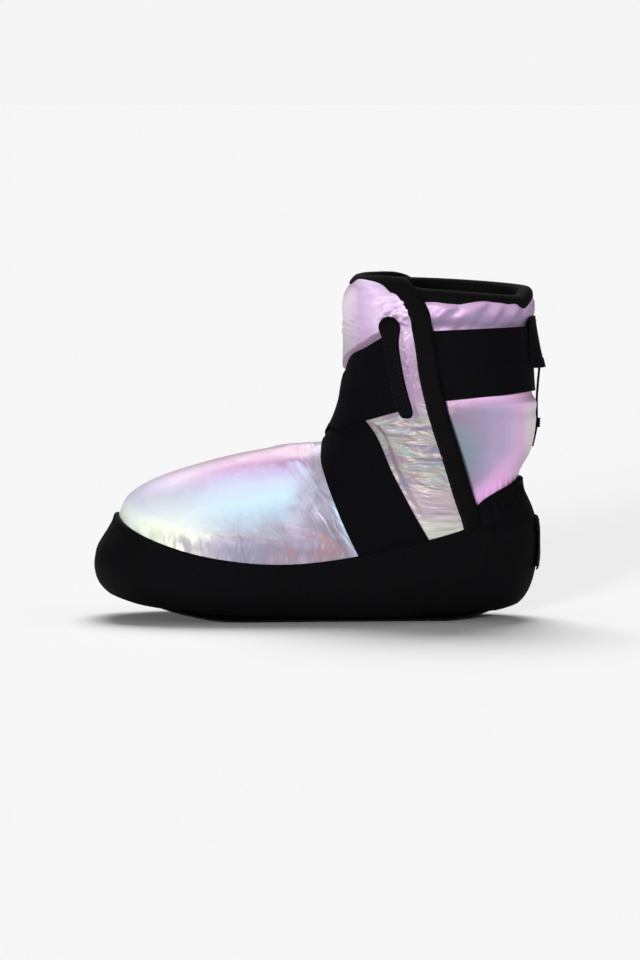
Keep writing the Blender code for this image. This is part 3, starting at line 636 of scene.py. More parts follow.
# %% [markdown]
# Points between the two edges are dropped on the surface that carries the band, so it lies flat on a curved
# boot without any cloth simulation. It is laid twice: first on the loose padding, to find where the padding
# is held down, and then on the padding that gives way to it.

# %% Laying the elastic
STRAP_THICK = 1.4
STRAP_CLEAR = 0.95
STRAP_RISE = STRAP_CLEAR + STRAP_THICK - 1.0
STRAP_SEWN = 0.8
STRAP_CROWN = 0.4
STRAP_WIDTH = 45.0
STRAP_ROWS = 24
STRAP_PASSES = 3
CROSSING = STRAP_THICK + 0.5
BAND_FINE = 12
BACK_ROW = 11
FACE_LENGTH = 2.0


def strap_shape(first_edge, second_edge, tree_at, underneath=None):
    """A surface function for the outer face of a band, and the band's length."""
    edges = [through([land(tree_at(i), spot) for i, spot in enumerate(edge)], BAND_FINE)
             for edge in (first_edge, second_edge)]
    run = run_along((edges[0] + edges[1]) / 2)

    def shape(u, v):
        points = []
        for along, across in zip(np.interp(u * run[-1], run, np.arange(len(run))), v):
            k = min(int(along), len(run) - 2)
            first, second = [edge[k] + (edge[k + 1] - edge[k]) * (along - k) for edge in edges]
            spot, normal = rest_on(tree_at(along / BAND_FINE), first + (second - first) * across)
            above_seam = smoothstep((spot[2] - rand_edge_z(spot[0]) + 1.0) / 9.0)
            crown = STRAP_CROWN * (1 - (2 * across - 1) ** 8)
            lift = STRAP_SEWN + (STRAP_RISE + crown) * above_seam
            if underneath:
                gap = underneath.find_nearest(Vector((spot + normal * lift) * MM))[3] / MM
                lift += CROSSING * (1 - smoothstep((gap - 1.0) / 7.0))
            points.append(spot + normal * lift)
        return np.array(points)

    return shape, run[-1]


def strap_grid(first_edge, second_edge, tree_at, underneath=None):
    """The band as a grid, smoothed a little."""
    shape, length = strap_shape(first_edge, second_edge, tree_at, underneath)
    builder = cloth_grid(round(length / FACE_LENGTH), STRAP_ROWS, shape, (length, STRAP_WIDTH))
    for _ in range(STRAP_PASSES):
        bmesh.ops.smooth_vert(builder, verts=builder.verts, factor=0.5, use_axis_x=True, use_axis_y=True,
                              use_axis_z=True)
    face_out(builder)
    print("elastic run", round(length), "mm long")
    return builder


def lay_straps(dress):
    """Both runs of elastic on the dressed boot; the first passes under the flap behind the ankle."""
    lower = strap_grid(INSTEP_FRONT, INSTEP_REAR, lambda row: skin_tree if row >= BACK_ROW else dress)
    upper = strap_grid(ANKLE_REAR, ANKLE_FRONT, lambda row: dress, BVHTree.FromBMesh(lower))
    return lower, upper


def beside(trees, points, near, far):
    """0 under the elastic, growing to 1 at a distance from it, so that padding swells only between bands."""
    gap = [min(tree.find_nearest(Vector(point * MM))[3] for tree in trees) for point in points]
    return smoothstep((np.array(gap) / MM - near) / (far - near))


loose_dress = lifted(form, form_normal, dress_lift(grid_place, form))
loose_trees = [BVHTree.FromBMesh(grid) for grid in lay_straps(surface_tree(loose_dress))]
slack = beside(loose_trees, loose_dress.reshape(-1, 3), 5.0, 15.0).reshape(grid_place.shape)
dress_tree = surface_tree(lifted(form, form_normal, dress_lift(grid_place, form, slack)))
instep_grid, ankle_grid = lay_straps(dress_tree)
strap_trees = [BVHTree.FromBMesh(grid) for grid in (instep_grid, ankle_grid)]

# %% [markdown]
# The shell is a film-coated cloth. Its thin coating splits the light, so the colour turns with the angle of
# the cloth. A real thin film would be a physical shader, whose colours are hard to steer. Here colour ramps
# on the surface normal paint the bands instead. They stand in for the film's reflections, so they are painted
# reflection, with painted highlights and painted shade in them. Soft masks set the parts of the boot apart.
# Both cloths share a start: slow and quick noise, small folds in the bump, and a satin roughness. Shader
# lengths are metres.


# %% Film cloth
def drawn_out(place, scale, lean=0.0):
    """Noise drawn out along one direction: lean turns x towards z in side view, scale is blotches a metre."""
    turned = place.node("ShaderNodeMapping", {"Vector": place, "Rotation": (0.0, math.radians(lean), 0.0)})
    return turned.node("ShaderNodeMapping", {"Vector": turned, "Scale": scale}).noise(1.0, 2.0, 0.6)


def wrinkles(place, scale, lean=0.0):
    """Thin folds: ridges where drawn-out noise passes its middle value."""
    folded = drawn_out(place, scale, lean)
    return folded.ease(0.38, 0.5) * folded.ease(0.62, 0.5)


def film_cloth(name, fold_at):
    """Start a film cloth; fold_at turns its coordinates into the height of its small folds."""
    finish, wire, sockets = new_finish(name, {"Specular IOR Level": 0.12, "Metallic": 0.1})
    place = wire.node("ShaderNodeTexCoord", output="Object")
    facing = wire.node("ShaderNodeNewGeometry", output="Normal").split()
    slow = place.noise(16.0, 2.0, 0.4) - 0.5
    quick = place.noise(110.0, 3.0, 0.8) - 0.5
    x, _, z = place.split()
    folds = fold_at(place, x, z)
    threads = place.noise(1400.0, 2.0)
    wire.plug(sockets["Roughness"], 0.4 + 0.16 * quick)
    wire.plug(sockets["Normal"], wire.bump(folds + 0.6 * quick + 0.1 * threads, 0.35, 0.0014))
    return finish, sockets["Base Color"], place, facing, slow, quick, folds


def spot(x, z, centre_x, centre_z, radius):
    """A soft round mask in side view."""
    return ((x - centre_x) ** 2.0 + (z - centre_z) ** 2.0).ease(radius ** 2, 0.0)


def paint(*colour):
    """A screen colour for one socket of a Mix node."""
    return (*tint(*colour), 1.0)


print("film cloth recipe ready")

# %% [markdown]
# On the foot the film turns from pink on top through lilac and pale blue to grey and dull mauve below, and at
# the toe to almost white. The pale blue to almost white band is a painted reflection, the toe's near white a
# painted highlight, and the grey and dull mauve below are partly painted shade. By the elastic the cloth is
# pulled and mixed in colour, with a narrow painted glint along the elastic's edge. Behind the flap it goes
# sideways from mauve to pale pink, darker by the flap's tape as painted shade, with a teal patch in the
# middle and brighter pink along both seams; along the upper seam, below the elastic, that pink is partly
# painted light. Below the collar the puff is painted lighter where it faces up and darker where it faces
# down.


# %% Lilac cloth of the upper
def upper_folds(place, x, z):
    """Folds fan out from the elastic, and short ones stand on the rand's seam."""
    above_seam = z - 2.1 * (x + 0.02) ** 2.0 - 0.0365
    at_seam = above_seam.ease(0.02, 0.003) * x.ease(0.04, 0.03)
    pulled = (x + 0.39 * z).ease(0.008, 0.046) * x.ease(0.05, 0.04)
    stood = 0.35 * at_seam * wrinkles(place, (110.0, 60.0, 30.0))
    return stood + pulled * wrinkles(place, (22.0, 22.0, 110.0), -57.0)


upper_finish, colour, place, facing, slow, quick, folds = film_cloth("lilac_sheen_cloth", upper_folds)
x, _, z = place.split()
tilt = 0.5 - 0.5 * facing[2] + 0.1 * slow + 0.05 * quick - 0.1 * folds
# Near-white and pale blue stops are a painted reflection; the grey and dull mauve stops below are partly
# painted shade.
vamp = tilt.ramp([
    (0.03, tint(188, 162, 180)), (0.085, tint(181, 140, 177)), (0.13, tint(206, 190, 228)),
    (0.18, tint(213, 222, 248)), (0.26, tint(203, 231, 248)), (0.32, tint(183, 203, 221)),
    (0.38, tint(160, 164, 178)), (0.43, tint(137, 128, 143)), (0.5, tint(137, 134, 154))])
# At the toe the near-white and pale yellow stops are a painted highlight.
toe = tilt.ramp([
    (0.03, tint(204, 184, 206)), (0.09, tint(208, 199, 223)), (0.15, tint(203, 204, 220)),
    (0.22, tint(213, 220, 227)), (0.31, tint(228, 234, 228)), (0.39, tint(226, 234, 212)),
    (0.46, tint(184, 182, 174)), (0.52, tint(168, 164, 168))])
pulled = (0.5 + 0.55 * quick + 0.9 * slow - 0.25 * facing[2]).ramp([
    (0.1, tint(198, 192, 212)), (0.35, tint(160, 150, 170)), (0.5, tint(144, 132, 148)),
    (0.62, tint(160, 130, 133)), (0.85, tint(138, 140, 166))])
foot = (x + 0.03 * slow).ease(-0.048, -0.1).blend(vamp, toe)
by_elastic = x + 0.39 * z
foot = ((x - 0.43 * z + 0.008 * slow).ease(-0.058, -0.039) * 0.85).blend(foot, pulled)
foot = ((by_elastic + 0.006 * slow).ease(0.03, 0.043) * 0.7).blend(foot, pulled)
# A narrow pale blue painted glint along the elastic's edge.
painted_glint = by_elastic.ease(0.0355, 0.0385) * z.ease(0.042, 0.056) * z.ease(0.084, 0.068)
foot = (painted_glint * 0.65).blend(foot, paint(182, 216, 236))

side = facing[0] + 0.3 * slow
# The dark stops toward the front, by the flap's tape, are partly painted shade.
rear = (0.5 + 0.5 * side).ramp([
    (0.3, tint(146, 122, 148)), (0.5, tint(135, 116, 138)), (0.64, tint(145, 136, 161)),
    (0.76, tint(166, 149, 183)), (0.9, tint(205, 174, 203)), (1.0, tint(240, 230, 237))])
rear = (spot(x, z, 0.084, 0.108, 0.024) * 0.75).blend(rear, paint(116, 137, 144))
low_pink = (z - 0.85 * x).ease(0.008, -0.012) * x.ease(0.13, 0.114)
rear = (low_pink * 0.9).blend(rear, paint(238, 176, 232))
# A brighter pink band just below the elastic, partly painted light against the shade there.
rear = ((z + 0.01 * slow).ease(0.132, 0.144) * 0.9).blend(rear, paint(232, 184, 228))
# Painted light and shade on the puff below the collar: lighter where it faces up, darker where it faces down.
puff_light_and_shade = (facing[2] + 0.5 * quick + 0.5 * slow).ease(-0.5, 0.5)
puff_light_and_shade = puff_light_and_shade.blend(paint(140, 120, 151), paint(202, 166, 205))
rear = z.ease(0.17, 0.186).blend(rear, puff_light_and_shade)
place.plug(colour, x.ease(0.03, 0.055).blend(foot, rear))
print("upper's cloth:", len(upper_finish.node_tree.nodes), "shader nodes")

# %% [markdown]
# The flap is the same cloth, crumpled. Its top is smooth and lilac, with painted shade where it faces down
# and painted highlights on the folds beside the slot. Below the slot each small fold shows another colour, so
# drawn-out noise mixes grey, blue and green there, and folds get painted shade underneath and painted
# highlights on top.


# %% Crinkled cloth of the flap
def flap_folds(place, x, z):
    """Level folds below the slot, and slanting ones beside it."""
    level = wrinkles(place, (34.0, 34.0, 120.0))
    slanting = wrinkles(place, (60.0, 60.0, 220.0), 35.0)
    return z.ease(0.14, 0.13) * level + 0.5 * z.ease(0.14, 0.15) * x.ease(0.045, 0.056) * slanting


flap_finish, colour, place, facing, slow, quick, folds = film_cloth("lilac_crinkled_cloth", flap_folds)
x, _, z = place.split()
side = 0.5 + 0.5 * facing[0] + 0.12 * slow
bright = side.ramp([
    (0.02, tint(234, 224, 234)), (0.1, tint(200, 172, 208)), (0.24, tint(227, 203, 235)),
    (0.36, tint(206, 182, 216)), (0.5, tint(190, 160, 197))])
dull = side.ramp([
    (0.02, tint(170, 166, 168)), (0.1, tint(170, 144, 172)), (0.2, tint(148, 121, 153)),
    (0.36, tint(154, 129, 155)), (0.5, tint(140, 118, 140))])
front = (z + 0.02 * slow).ease(0.158, 0.206).blend(dull, bright)
# Painted shade where the cloth faces down.
front = (facing[2] + 0.8 * quick).ease(-0.2, -0.6).blend(front, paint(150, 124, 150))
# Painted highlights on the folds beside the slot.
painted_shine = (facing[2] + 0.6 * folds + 0.4 * quick).ease(0.12, 0.5) * x.ease(0.044, 0.054)
front = (painted_shine * 0.55).blend(front, paint(240, 220, 242))
patches = drawn_out(place, (34.0, 34.0, 85.0)) + 0.25 * facing[2]
drift = patches.ramp([
    (0.3, tint(120, 121, 146)), (0.42, tint(136, 125, 141)), (0.5, tint(150, 135, 139)),
    (0.57, tint(158, 156, 148)), (0.66, tint(140, 150, 152)), (0.76, tint(154, 140, 159))])
drift = ((z + 0.01 * slow).ease(0.098, 0.07) * 0.5).blend(drift, paint(200, 180, 184))
drift = ((z + 0.01 * slow).ease(0.07, 0.058) * 0.6).blend(drift, paint(196, 204, 184))
# How far each fold faces up: it drives painted shade underneath and painted highlights on top.
fold = facing[2] + 0.3 * quick
crinkled = (fold.ease(-0.3, -0.85) * 0.7).blend(drift, paint(128, 110, 130))
crinkled = ((fold + 0.2 * folds).ease(0.35, 0.8) * 0.6).blend(crinkled, paint(236, 230, 234))
place.plug(colour, (z + 0.02 * slow).ease(0.126, 0.148).blend(crinkled, front))
print("flap's cloth:", len(flap_finish.node_tree.nodes), "shader nodes")

# %% [markdown]
# Everything else is black, and black cloths differ by their thread: plain weave on the rand, ribs on the
# elastic, slanting loops on the knit tape, fleece inside. Each is the same recipe with another pattern of
# threads on the UV map. The pattern drives colour and bump, and a little dust drives roughness. The large
# numbers are waves, in radians a metre of cloth.


# %% The black cloths
def plain_weave(along, across):
    return 0.5 + 0.25 * (along * 7000.0).sine() + 0.25 * (across * 7000.0).sine()


def elastic_rib(along, across):
    return 0.5 + 0.38 * (across * 4800.0).sine() + 0.12 * (along * 9000.0).sine()


def knit_loops(along, across):
    return 0.5 + 0.5 * (along * 3800.0 + 1.6 * (across * 3800.0).sine()).sine()


def fleece(along, across):
    return 0.5 + 0.3 * (along * 1300.0 + 2.0 * (across * 900.0).sine()).sine() * (across * 1500.0).sine()


def black_cloth(name, threads, dark, light, depth):
    """A finish from a thread pattern, its darkest and lightest colour, and its depth in millimetres."""
    finish, wire, sockets = new_finish(name, {"Specular IOR Level": 0.05})
    place = wire.node("ShaderNodeTexCoord", output="Object")
    along, across, _ = wire.node("ShaderNodeTexCoord", output="UV").split()
    dust = place.noise(60.0, 4.0)
    pattern = threads(along, across)
    wire.plug(sockets["Base Color"], (0.5 * pattern + 0.5 * dust).ramp([(0.2, dark), (0.8, light)]))
    wire.plug(sockets["Roughness"], 0.72 + 0.2 * dust)
    wire.plug(sockets["Normal"], wire.bump(pattern + 0.5 * dust, 0.45, depth * MM))
    return finish


rand_finish = black_cloth("black_padded_cloth", plain_weave, tint(4, 4, 5), tint(10, 10, 12), 0.25)
elastic_finish = black_cloth("black_elastic", elastic_rib, tint(3, 3, 5), tint(9, 9, 12), 0.4)
tape_finish = black_cloth("black_knit_tape", knit_loops, tint(3, 3, 4), tint(13, 13, 14), 0.4)
lining_finish = black_cloth("black_fleece", fleece, tint(4, 4, 5), tint(12, 12, 13), 1.2)
sole_finish = black_cloth("black_sole_rubber", plain_weave, tint(8, 8, 9), tint(20, 20, 22), 0.3)
foam_finish = black_cloth("black_insole_foam", fleece, tint(12, 12, 13), tint(26, 26, 28), 0.5)
label_finish = black_cloth("black_label_cloth", elastic_rib, tint(7, 7, 8), tint(18, 18, 20), 0.3)
cord_finish = black_cloth("black_cord", knit_loops, tint(6, 6, 7), tint(18, 18, 20), 0.3)
thread_finish = black_cloth("black_thread", plain_weave, tint(16, 16, 18), tint(34, 34, 38), 0.2)
pale_thread_finish = black_cloth("grey_thread", plain_weave, tint(44, 44, 42), tint(84, 84, 78), 0.2)
print("black cloths:", sum(each.name.startswith("black") for each in bpy.data.materials))

# %% [markdown]
# Padded cloth is never even. It pulls tight at seams and straps, and folds where the boot bends. A simulation
# would place its folds anywhere, so each crease is listed one by one instead: a line in side view, with a
# soft ridge on it, a trough beside it, and both ends fading out. Small gathers are sums of sines along a
# seam.

# %% Creases
Crease = namedtuple("Crease", "x z end_x end_z bow half_width height")
TOE_RING = 4.0


def crease_lift(creases, x, z):
    """The height of all creases together, at places in side view."""
    lift = np.zeros_like(x)
    for crease in creases:
        run = np.array([crease.end_x - crease.x, crease.end_z - crease.z])
        length = np.linalg.norm(run)
        step_x, step_z = run / length
        along = ((x - crease.x) * step_x + (z - crease.z) * step_z) / length
        side = (z - crease.z) * step_x - (x - crease.x) * step_z
        side = side - crease.bow * 4 * along * (1 - along)
        fade = smoothstep(along / 0.25) * smoothstep((1 - along) / 0.4)
        ridge = hill(side, 0.0, crease.half_width)
        trough = hill(side, -1.7 * crease.half_width, crease.half_width)
        lift = lift + crease.height * fade * (ridge - 0.6 * trough)
    return lift


def gathers(run, pitch, drift):
    """Uneven small folds along a seam, from -1 to 1."""
    broad = np.sin(2 * np.pi * run / pitch + drift)
    narrow = np.sin(2 * np.pi * run / (0.61 * pitch) + 2 * drift)
    return 0.6 * broad + 0.4 * narrow


def trim(builder, inside):
    """Cut a grid along a line: faces beyond it go, and vertices just beyond slide back onto it."""
    builder.verts.index_update()
    depth = inside(np.array([vert.co for vert in builder.verts]) / MM)
    moves, corners = {}, {}
    for vert in builder.verts:
        near = [edge.other_vert(vert) for edge in vert.link_edges]
        best = max(near, key=lambda other: depth[other.index])
        if depth[vert.index] <= 0 < depth[best.index]:
            share = depth[best.index] / (depth[best.index] - depth[vert.index])
            moves[vert] = best.co.lerp(vert.co, share)
    for vert in [vert for vert in builder.verts if depth[vert.index] <= 0 and vert not in moves]:
        near = [other for other in (edge.other_vert(vert) for edge in vert.link_edges) if other in moves]
        if near:
            corners[vert] = sum((moves[other] for other in near), Vector()) / len(near)
    gone = [face for face in builder.faces if all(depth[vert.index] <= 0 for vert in face.verts)]
    for vert, spot in (moves | corners).items():
        vert.co = spot
    bmesh.ops.delete(builder, geom=gone, context="FACES")


def close_toe(builder):
    """Fill the small ring at the tip of the toe."""
    tip = min(vert.co.x for vert in builder.verts)
    ring = [edge for edge in builder.edges if edge.is_boundary and edge.verts[0].co.x < tip + TOE_RING * MM]
    bmesh.ops.contextual_create(builder, geom=ring)


print("crease tools ready")

# %% [markdown]
# The upper's own creases are read from the real one: long ones on the vamp that run to the elastic, small
# ones behind the flap, and puckers below the collar.

# %% Creases of the upper
VAMP_CREASES = [
    Crease(-16.0, 104.0, 1.5, 77.0, 3.0, 3.2, 1.2), Crease(0.0, 84.0, 19.0, 49.0, 3.0, 3.0, 1.3),
    Crease(-13.0, 84.0, 8.0, 56.0, 3.0, 2.8, 0.9), Crease(-26.0, 64.0, 21.0, 45.5, 2.5, 3.0, 0.8),
    Crease(-10.0, 46.0, 16.0, 45.0, 1.0, 2.2, 0.7), Crease(-26.0, 107.5, 2.0, 109.5, 1.0, 2.4, 0.8),
    Crease(-38.0, 52.0, -4.0, 43.0, 2.0, 3.0, 0.5), Crease(-8.0, 96.0, 3.0, 88.0, 1.0, 2.2, 0.7),
    Crease(-54.0, 52.0, -50.0, 39.0, 1.0, 2.4, 0.5), Crease(-84.0, 56.0, -78.0, 44.0, 1.0, 3.0, 0.4),
]
REAR_CREASES = [
    Crease(86.0, 115.0, 104.0, 113.0, -1.0, 1.8, 0.3), Crease(87.0, 108.0, 108.0, 107.0, -1.5, 2.0, 0.35),
    Crease(89.0, 101.0, 102.0, 101.0, -1.0, 1.6, 0.3), Crease(84.0, 141.0, 112.0, 139.5, -2.5, 3.0, 0.9),
    Crease(102.0, 139.0, 150.0, 139.0, 0.0, 4.0, 1.6), Crease(98.0, 82.0, 112.0, 90.0, 1.5, 3.4, 0.6),
]
COLLAR_CREASES = [
    Crease(69.0, 185.0, 91.0, 203.0, 2.0, 2.6, 1.3), Crease(82.0, 184.0, 99.0, 200.0, 1.5, 2.4, 1.0),
    Crease(92.0, 186.0, 108.0, 206.0, 2.0, 2.8, 1.3), Crease(106.0, 187.0, 116.0, 203.0, 1.0, 2.2, 1.0),
    Crease(118.0, 188.0, 125.0, 202.0, 1.0, 2.4, 1.0), Crease(97.0, 187.5, 112.0, 191.0, -1.0, 1.5, 0.7),
    Crease(76.0, 187.0, 84.0, 191.0, 0.5, 1.4, 0.6), Crease(112.0, 189.0, 128.0, 190.0, -1.0, 1.6, 0.6),
]
for part, creases in (("vamp", VAMP_CREASES), ("rear", REAR_CREASES), ("collar", COLLAR_CREASES)):
    print(part, len(creases), "creases")

# %% [markdown]
# The upper is one padded shell, and its grid runs round the last and from toe to collar. It swells between
# its seams, is held down under the elastic, gathers at the rand's seam and rolls out below the collar's
# tape. Below the insole there is no upper, so the grid is trimmed there.

# %% Upper
CLOTH_GIRTH = 330.0
UPPER_LENGTH = 350.0
INNER_SHIFT = 6.0
INSOLE_LIFT = 14.0


def upper_shape(u, v):
    """The outer face of the upper: u round the boot, v from toe to collar."""
    turn = 360.0 * u
    place = rim_place(turn) * v
    base, normal = last_frame(place, turn)
    x, y, z = base.T
    above_seam = z - rand_edge_z(x)
    open_air = beside(strap_trees, base, 2.2, 9.0)
    covered = (place > FLAP_FIRST) & (x < flap_edge_x(z) - 3.0)
    swell = -0.4 + 1.7 * smoothstep(above_seam / 16.0) * open_air
    seam_gather = 0.4 * gathers(x + 0.5 * y, 6.0, 0.05 * y) * hill(above_seam, 0.0, 8.0)
    drop = last_point(rim_place(turn), turn)[:, 2] - z
    tape_shows = 3.4 + 0.6 * hill(turn, 72.0, 22.0) - 3.2 * hill(turn, 121.0, 20.0)
    tape_shows += 0.8 * gathers(0.92 * turn, 27.0, 0.0)
    full = smoothstep((drop - tape_shows + 2.5) / 5.0)
    roll = -1.4 * (1 - full) * smoothstep((14.0 - drop) / 6.0) + 2.5 * full * smoothstep((z - 185.5) / 6.0)
    collar_gather = np.where(z > 170.0, roll + crease_lift(COLLAR_CREASES, x, z) * full, 0.0)
    shift = np.where(y > 0, INNER_SHIFT, 0.0)
    creased = crease_lift(VAMP_CREASES + REAR_CREASES, x + shift, z + 0.5 * shift)
    creased *= np.maximum(open_air, 0.15)
    return lifted(base, normal, np.where(covered, -0.3, swell + seam_gather + collar_gather + creased))


builder = cloth_grid(200, 210, upper_shape, (CLOTH_GIRTH, UPPER_LENGTH), ring=True)
close_toe(builder)
trim(builder, lambda spot: spot[:, 2] - spring_z(spot[:, 0]) - INSOLE_LIFT)
face_out(builder)
upper = wear("upper_cloth", builder, upper_finish, "upper", thick=0.9)

# %% [markdown]
# Inside, a black fleece lining follows the upper one padding's thickness further in. It shows in the collar.

# %% Lining
LINING_DEPTH = 5.6
LINING_THINNER = 1.4
LINING_BELOW = 1.0


def lining_shape(u, v):
    """The face of the lining that the foot meets, nearer to the upper at the collar."""
    base, normal = last_frame(rim_place(360.0 * u) * v, 360.0 * u)
    depth = LINING_DEPTH - LINING_THINNER * smoothstep((COLLAR * v - 16.4) / 1.6)
    return lifted(base, normal, -depth + 0.4 * gathers(CLOTH_GIRTH * u, 16.0, 9.0 * v))


builder = cloth_grid(110, 120, lining_shape, (CLOTH_GIRTH, UPPER_LENGTH), ring=True)
close_toe(builder)
trim(builder, lambda spot: spot[:, 2] - spring_z(spot[:, 0]) - INSOLE_LIFT + LINING_BELOW)
face_out(builder)
bmesh.ops.reverse_faces(builder, faces=builder.faces)
wear("lining", builder, lining_finish, "upper", thick=0.8)

# %% [markdown]
# The rand is a padded black cup around the foot, sewn to the upper along its top edge. Its grid goes round
# the last as the upper's does and is trimmed at the edge line, where a soft rolled seam then covers the cut.
# The heel is gathered on a hidden elastic, so fine folds run down from the edge there. Underneath, the rand
# lies flat on the outsole, so the table of the sole's outline comes first.

# %% Shape of the rand
Outline = namedtuple("Outline", "x outer inner")
SOLE = [
    Outline(-122.0, -8.0, 16.0), Outline(-119.0, -17.0, 24.5), Outline(-109.0, -27.5, 33.5),
    Outline(-92.0, -36.0, 40.5), Outline(-68.0, -41.0, 43.0), Outline(-44.0, -41.5, 42.0),
    Outline(-15.0, -38.5, 38.0), Outline(18.0, -34.5, 33.0), Outline(52.0, -32.5, 31.5),
    Outline(82.0, -31.0, 30.5), Outline(101.0, -26.0, 25.5), Outline(111.0, -17.5, 17.5),
    Outline(114.0, -9.0, 9.0),
]
SOLE_LINE = through(SOLE, 6)
RAND_LAST = 14.7
RAND_ROWS = 210
HEEL_START = 98.0
SOLE_LIFT = 4.3
RIM_DROP = 0.8
RIM_SPRING = 0.72
RAND_CREASES = [
    Crease(92.0, 58.5, 106.0, 64.0, 1.0, 2.4, -1.6), Crease(98.0, 50.0, 124.0, 62.0, 2.0, 4.0, 0.9),
    Crease(104.0, 70.0, 126.0, 74.0, -2.0, 3.4, 0.8), Crease(60.0, 30.0, 96.0, 44.0, 2.0, 6.0, 0.7),
    Crease(-110.0, 46.0, -70.0, 30.0, 3.0, 6.0, 0.6), Crease(-30.0, 28.0, 30.0, 26.0, 2.0, 5.0, 0.5),
]


def rand_floor(x, y):
    """The rand rests on the outsole and hangs a little lower round its rim."""
    outer, inner = [np.interp(x, SOLE_LINE[:, 0], SOLE_LINE[:, i]) for i in (1, 2)]
    within = np.minimum(np.minimum(y - outer, inner - y), np.minimum(x - SOLE[0].x, SOLE[-1].x - x))
    spring = spring_z(x)
    low = RIM_DROP + RIM_SPRING * spring
    return low + (SOLE_LIFT + spring - low) * smoothstep((within - 1.0) / 3.0)


def rand_wall(u, v):
    """The outer face of the rand: u round the boot, v from toe to heel."""
    base, normal = last_frame(RAND_LAST * v, 360.0 * u)
    x, y, z = base.T
    depth = rand_edge_z(x) - z
    heel = smoothstep((x - HEEL_START) / 8.0)
    pull = hill(depth, 0.0, 14.0)
    folds = (0.35 + 0.5 * heel) * gathers(x + 0.8 * y, 9.0 - 3.0 * heel, 0.04 * y) * pull
    creased = crease_lift(RAND_CREASES, x, z) * smoothstep(depth / 5.0)
    x, y, z = lifted(base, normal, rand_lift(base) + folds + creased).T
    return np.stack([x, y, np.maximum(z, rand_floor(x, y))], axis=-1)


print("rand:", len(RAND_CREASES), "creases, on a sole of", len(SOLE), "widths")

# %% [markdown]
# All rows of the rand's grid meet at the tip of the toe. A small dome closes it there, and the thin faces
# round the meeting point are merged into one, because slivers would shade badly.

# %% Rand
CAP_ROWS = 8
TOE_CAP = CAP_ROWS / RAND_ROWS
TOE_DOME = 1.2
POLE_PATCH = 4.0
EDGE_STEP = 2.0
EDGE_PASSES = 12
UNDER_SEAM = 0.6
TOE_TIP = rand_wall(np.linspace(0.0, 1.0, 90), np.full(90, TOE_CAP)).mean(axis=0)


def rand_shape(u, v):
    """The rand's wall, with a dome in place of its first rows."""
    ring = rand_wall(u, np.maximum(v, TOE_CAP))
    in_cap = np.clip(v / TOE_CAP, 0.0, 1.0)[:, None]
    cap_point = TOE_TIP + (ring - TOE_TIP) * in_cap - (1.0 - in_cap ** 2) * (TOE_DOME, 0.0, 0.0)
    return np.where(v[:, None] < TOE_CAP, cap_point, ring)


def edge_line(builder, spacing):
    """The open edge of a trimmed grid as an evenly spaced, smoothed loop of points in millimetres."""
    start = here = next(edge for edge in builder.edges if edge.is_boundary).verts[0]
    came = None
    walk = []
    while not walk or here is not start:
        walk.append(np.array(here.co) / MM)
        came = next(edge for edge in here.link_edges if edge.is_boundary and edge is not came)
        here = came.other_vert(here)
    walk = np.array(walk)
    for _ in range(EDGE_PASSES):
        walk = (np.roll(walk, 1, axis=0) + 2 * walk + np.roll(walk, -1, axis=0)) / 4
    closed = np.vstack([walk, walk[:1]])
    run = run_along(closed)
    return at_run(np.linspace(0.0, run[-1], round(run[-1] / spacing) + 1)[:-1], run, closed)


builder = cloth_grid(230, RAND_ROWS, rand_shape, (CLOTH_GIRTH, 300.0), ring=True)
pole = Vector((TOE_TIP - (TOE_DOME, 0.0, 0.0)) * MM)
slivers = [face for face in builder.faces if (face.calc_center_median() - pole).length < POLE_PATCH * MM]
bmesh.ops.dissolve_faces(builder, faces=slivers, use_verts=True)
trim(builder, lambda spot: rand_edge_z(spot[:, 0]) - spot[:, 2] - UNDER_SEAM)
face_out(builder)
rand_edge = edge_line(builder, EDGE_STEP)
rand = wear("rand_cup", builder, rand_finish, "rand", thick=1.4)
print("rand edge", round(len(rand_edge) * EDGE_STEP), "mm round")

# %% [markdown]
# A rolled seam and every folded tape on this boot are one idea: an outline carried along a line on the boot.
# A grid does it too. One direction runs along the line, the other round the outline, and a frame of three
# directions at each point says which way is along, across and out.


# %% Outlines carried along a line
def loop_frames(line, tree):
    """As path_frames, for a closed line."""
    parts = path_frames(np.vstack([line[-1:], line, line[:1]]), tree)
    return [part[1:-1] for part in parts]


def tape_shape(frames, outline_at, closed=False):
    """A surface function: u along the frames, v round the outline, whose two arms are across and outward."""
    count = len(frames[0])

    def shape(u, v):
        row = u * (count if closed else count - 1)
        low = np.minimum(np.floor(row).astype(int), count - 1)
        high = (low + 1) % count if closed else np.minimum(low + 1, count - 1)
        point, across, outward = [part[low % count] * (1 - (row - low))[:, None]
                                  + part[high] * (row - low)[:, None] for part in frames]
        side, rise = outline_at(u, v)
        return point + across * side[:, None] + outward * rise[:, None]

    return shape


def outline_of(corners):
    """A smooth outline through a few corners, as a function of v that is the same at every u."""
    curve = through(corners, 6)

    def outline_at(u, v):
        return at_row(v * (len(curve) - 1), curve)

    return outline_at


ROLL = [(-4.6, 1.6), (-3.2, 2.4), (-1.4, 2.75), (0.2, 2.5), (1.1, 1.6), (1.2, 0.6), (0.8, -0.4)]
if np.dot(loop_frames(rand_edge, skin_tree)[1][0], (0, 0, 1)) < 0:
    rand_edge = rand_edge[::-1]
on_skin = np.array([rest_on(skin_tree, point)[0] for point in rand_edge])
seam_shape = tape_shape(loop_frames(on_skin, skin_tree), outline_of(ROLL), True)
builder = cloth_grid(len(on_skin), 12, seam_shape, (EDGE_STEP * len(on_skin), 9.0), ring=True)
face_out(builder)
wear("rand_seam", builder, rand_finish, "rand", thick=0.8)

# %% [markdown]
# Under the rand sits a thin soft outsole, wide at the ball and narrow at the arch. Its outline is a short
# table of widths, and both ends are bowed. A grid covers the underside, grooves across it make the tread, and
# thickness goes upward.

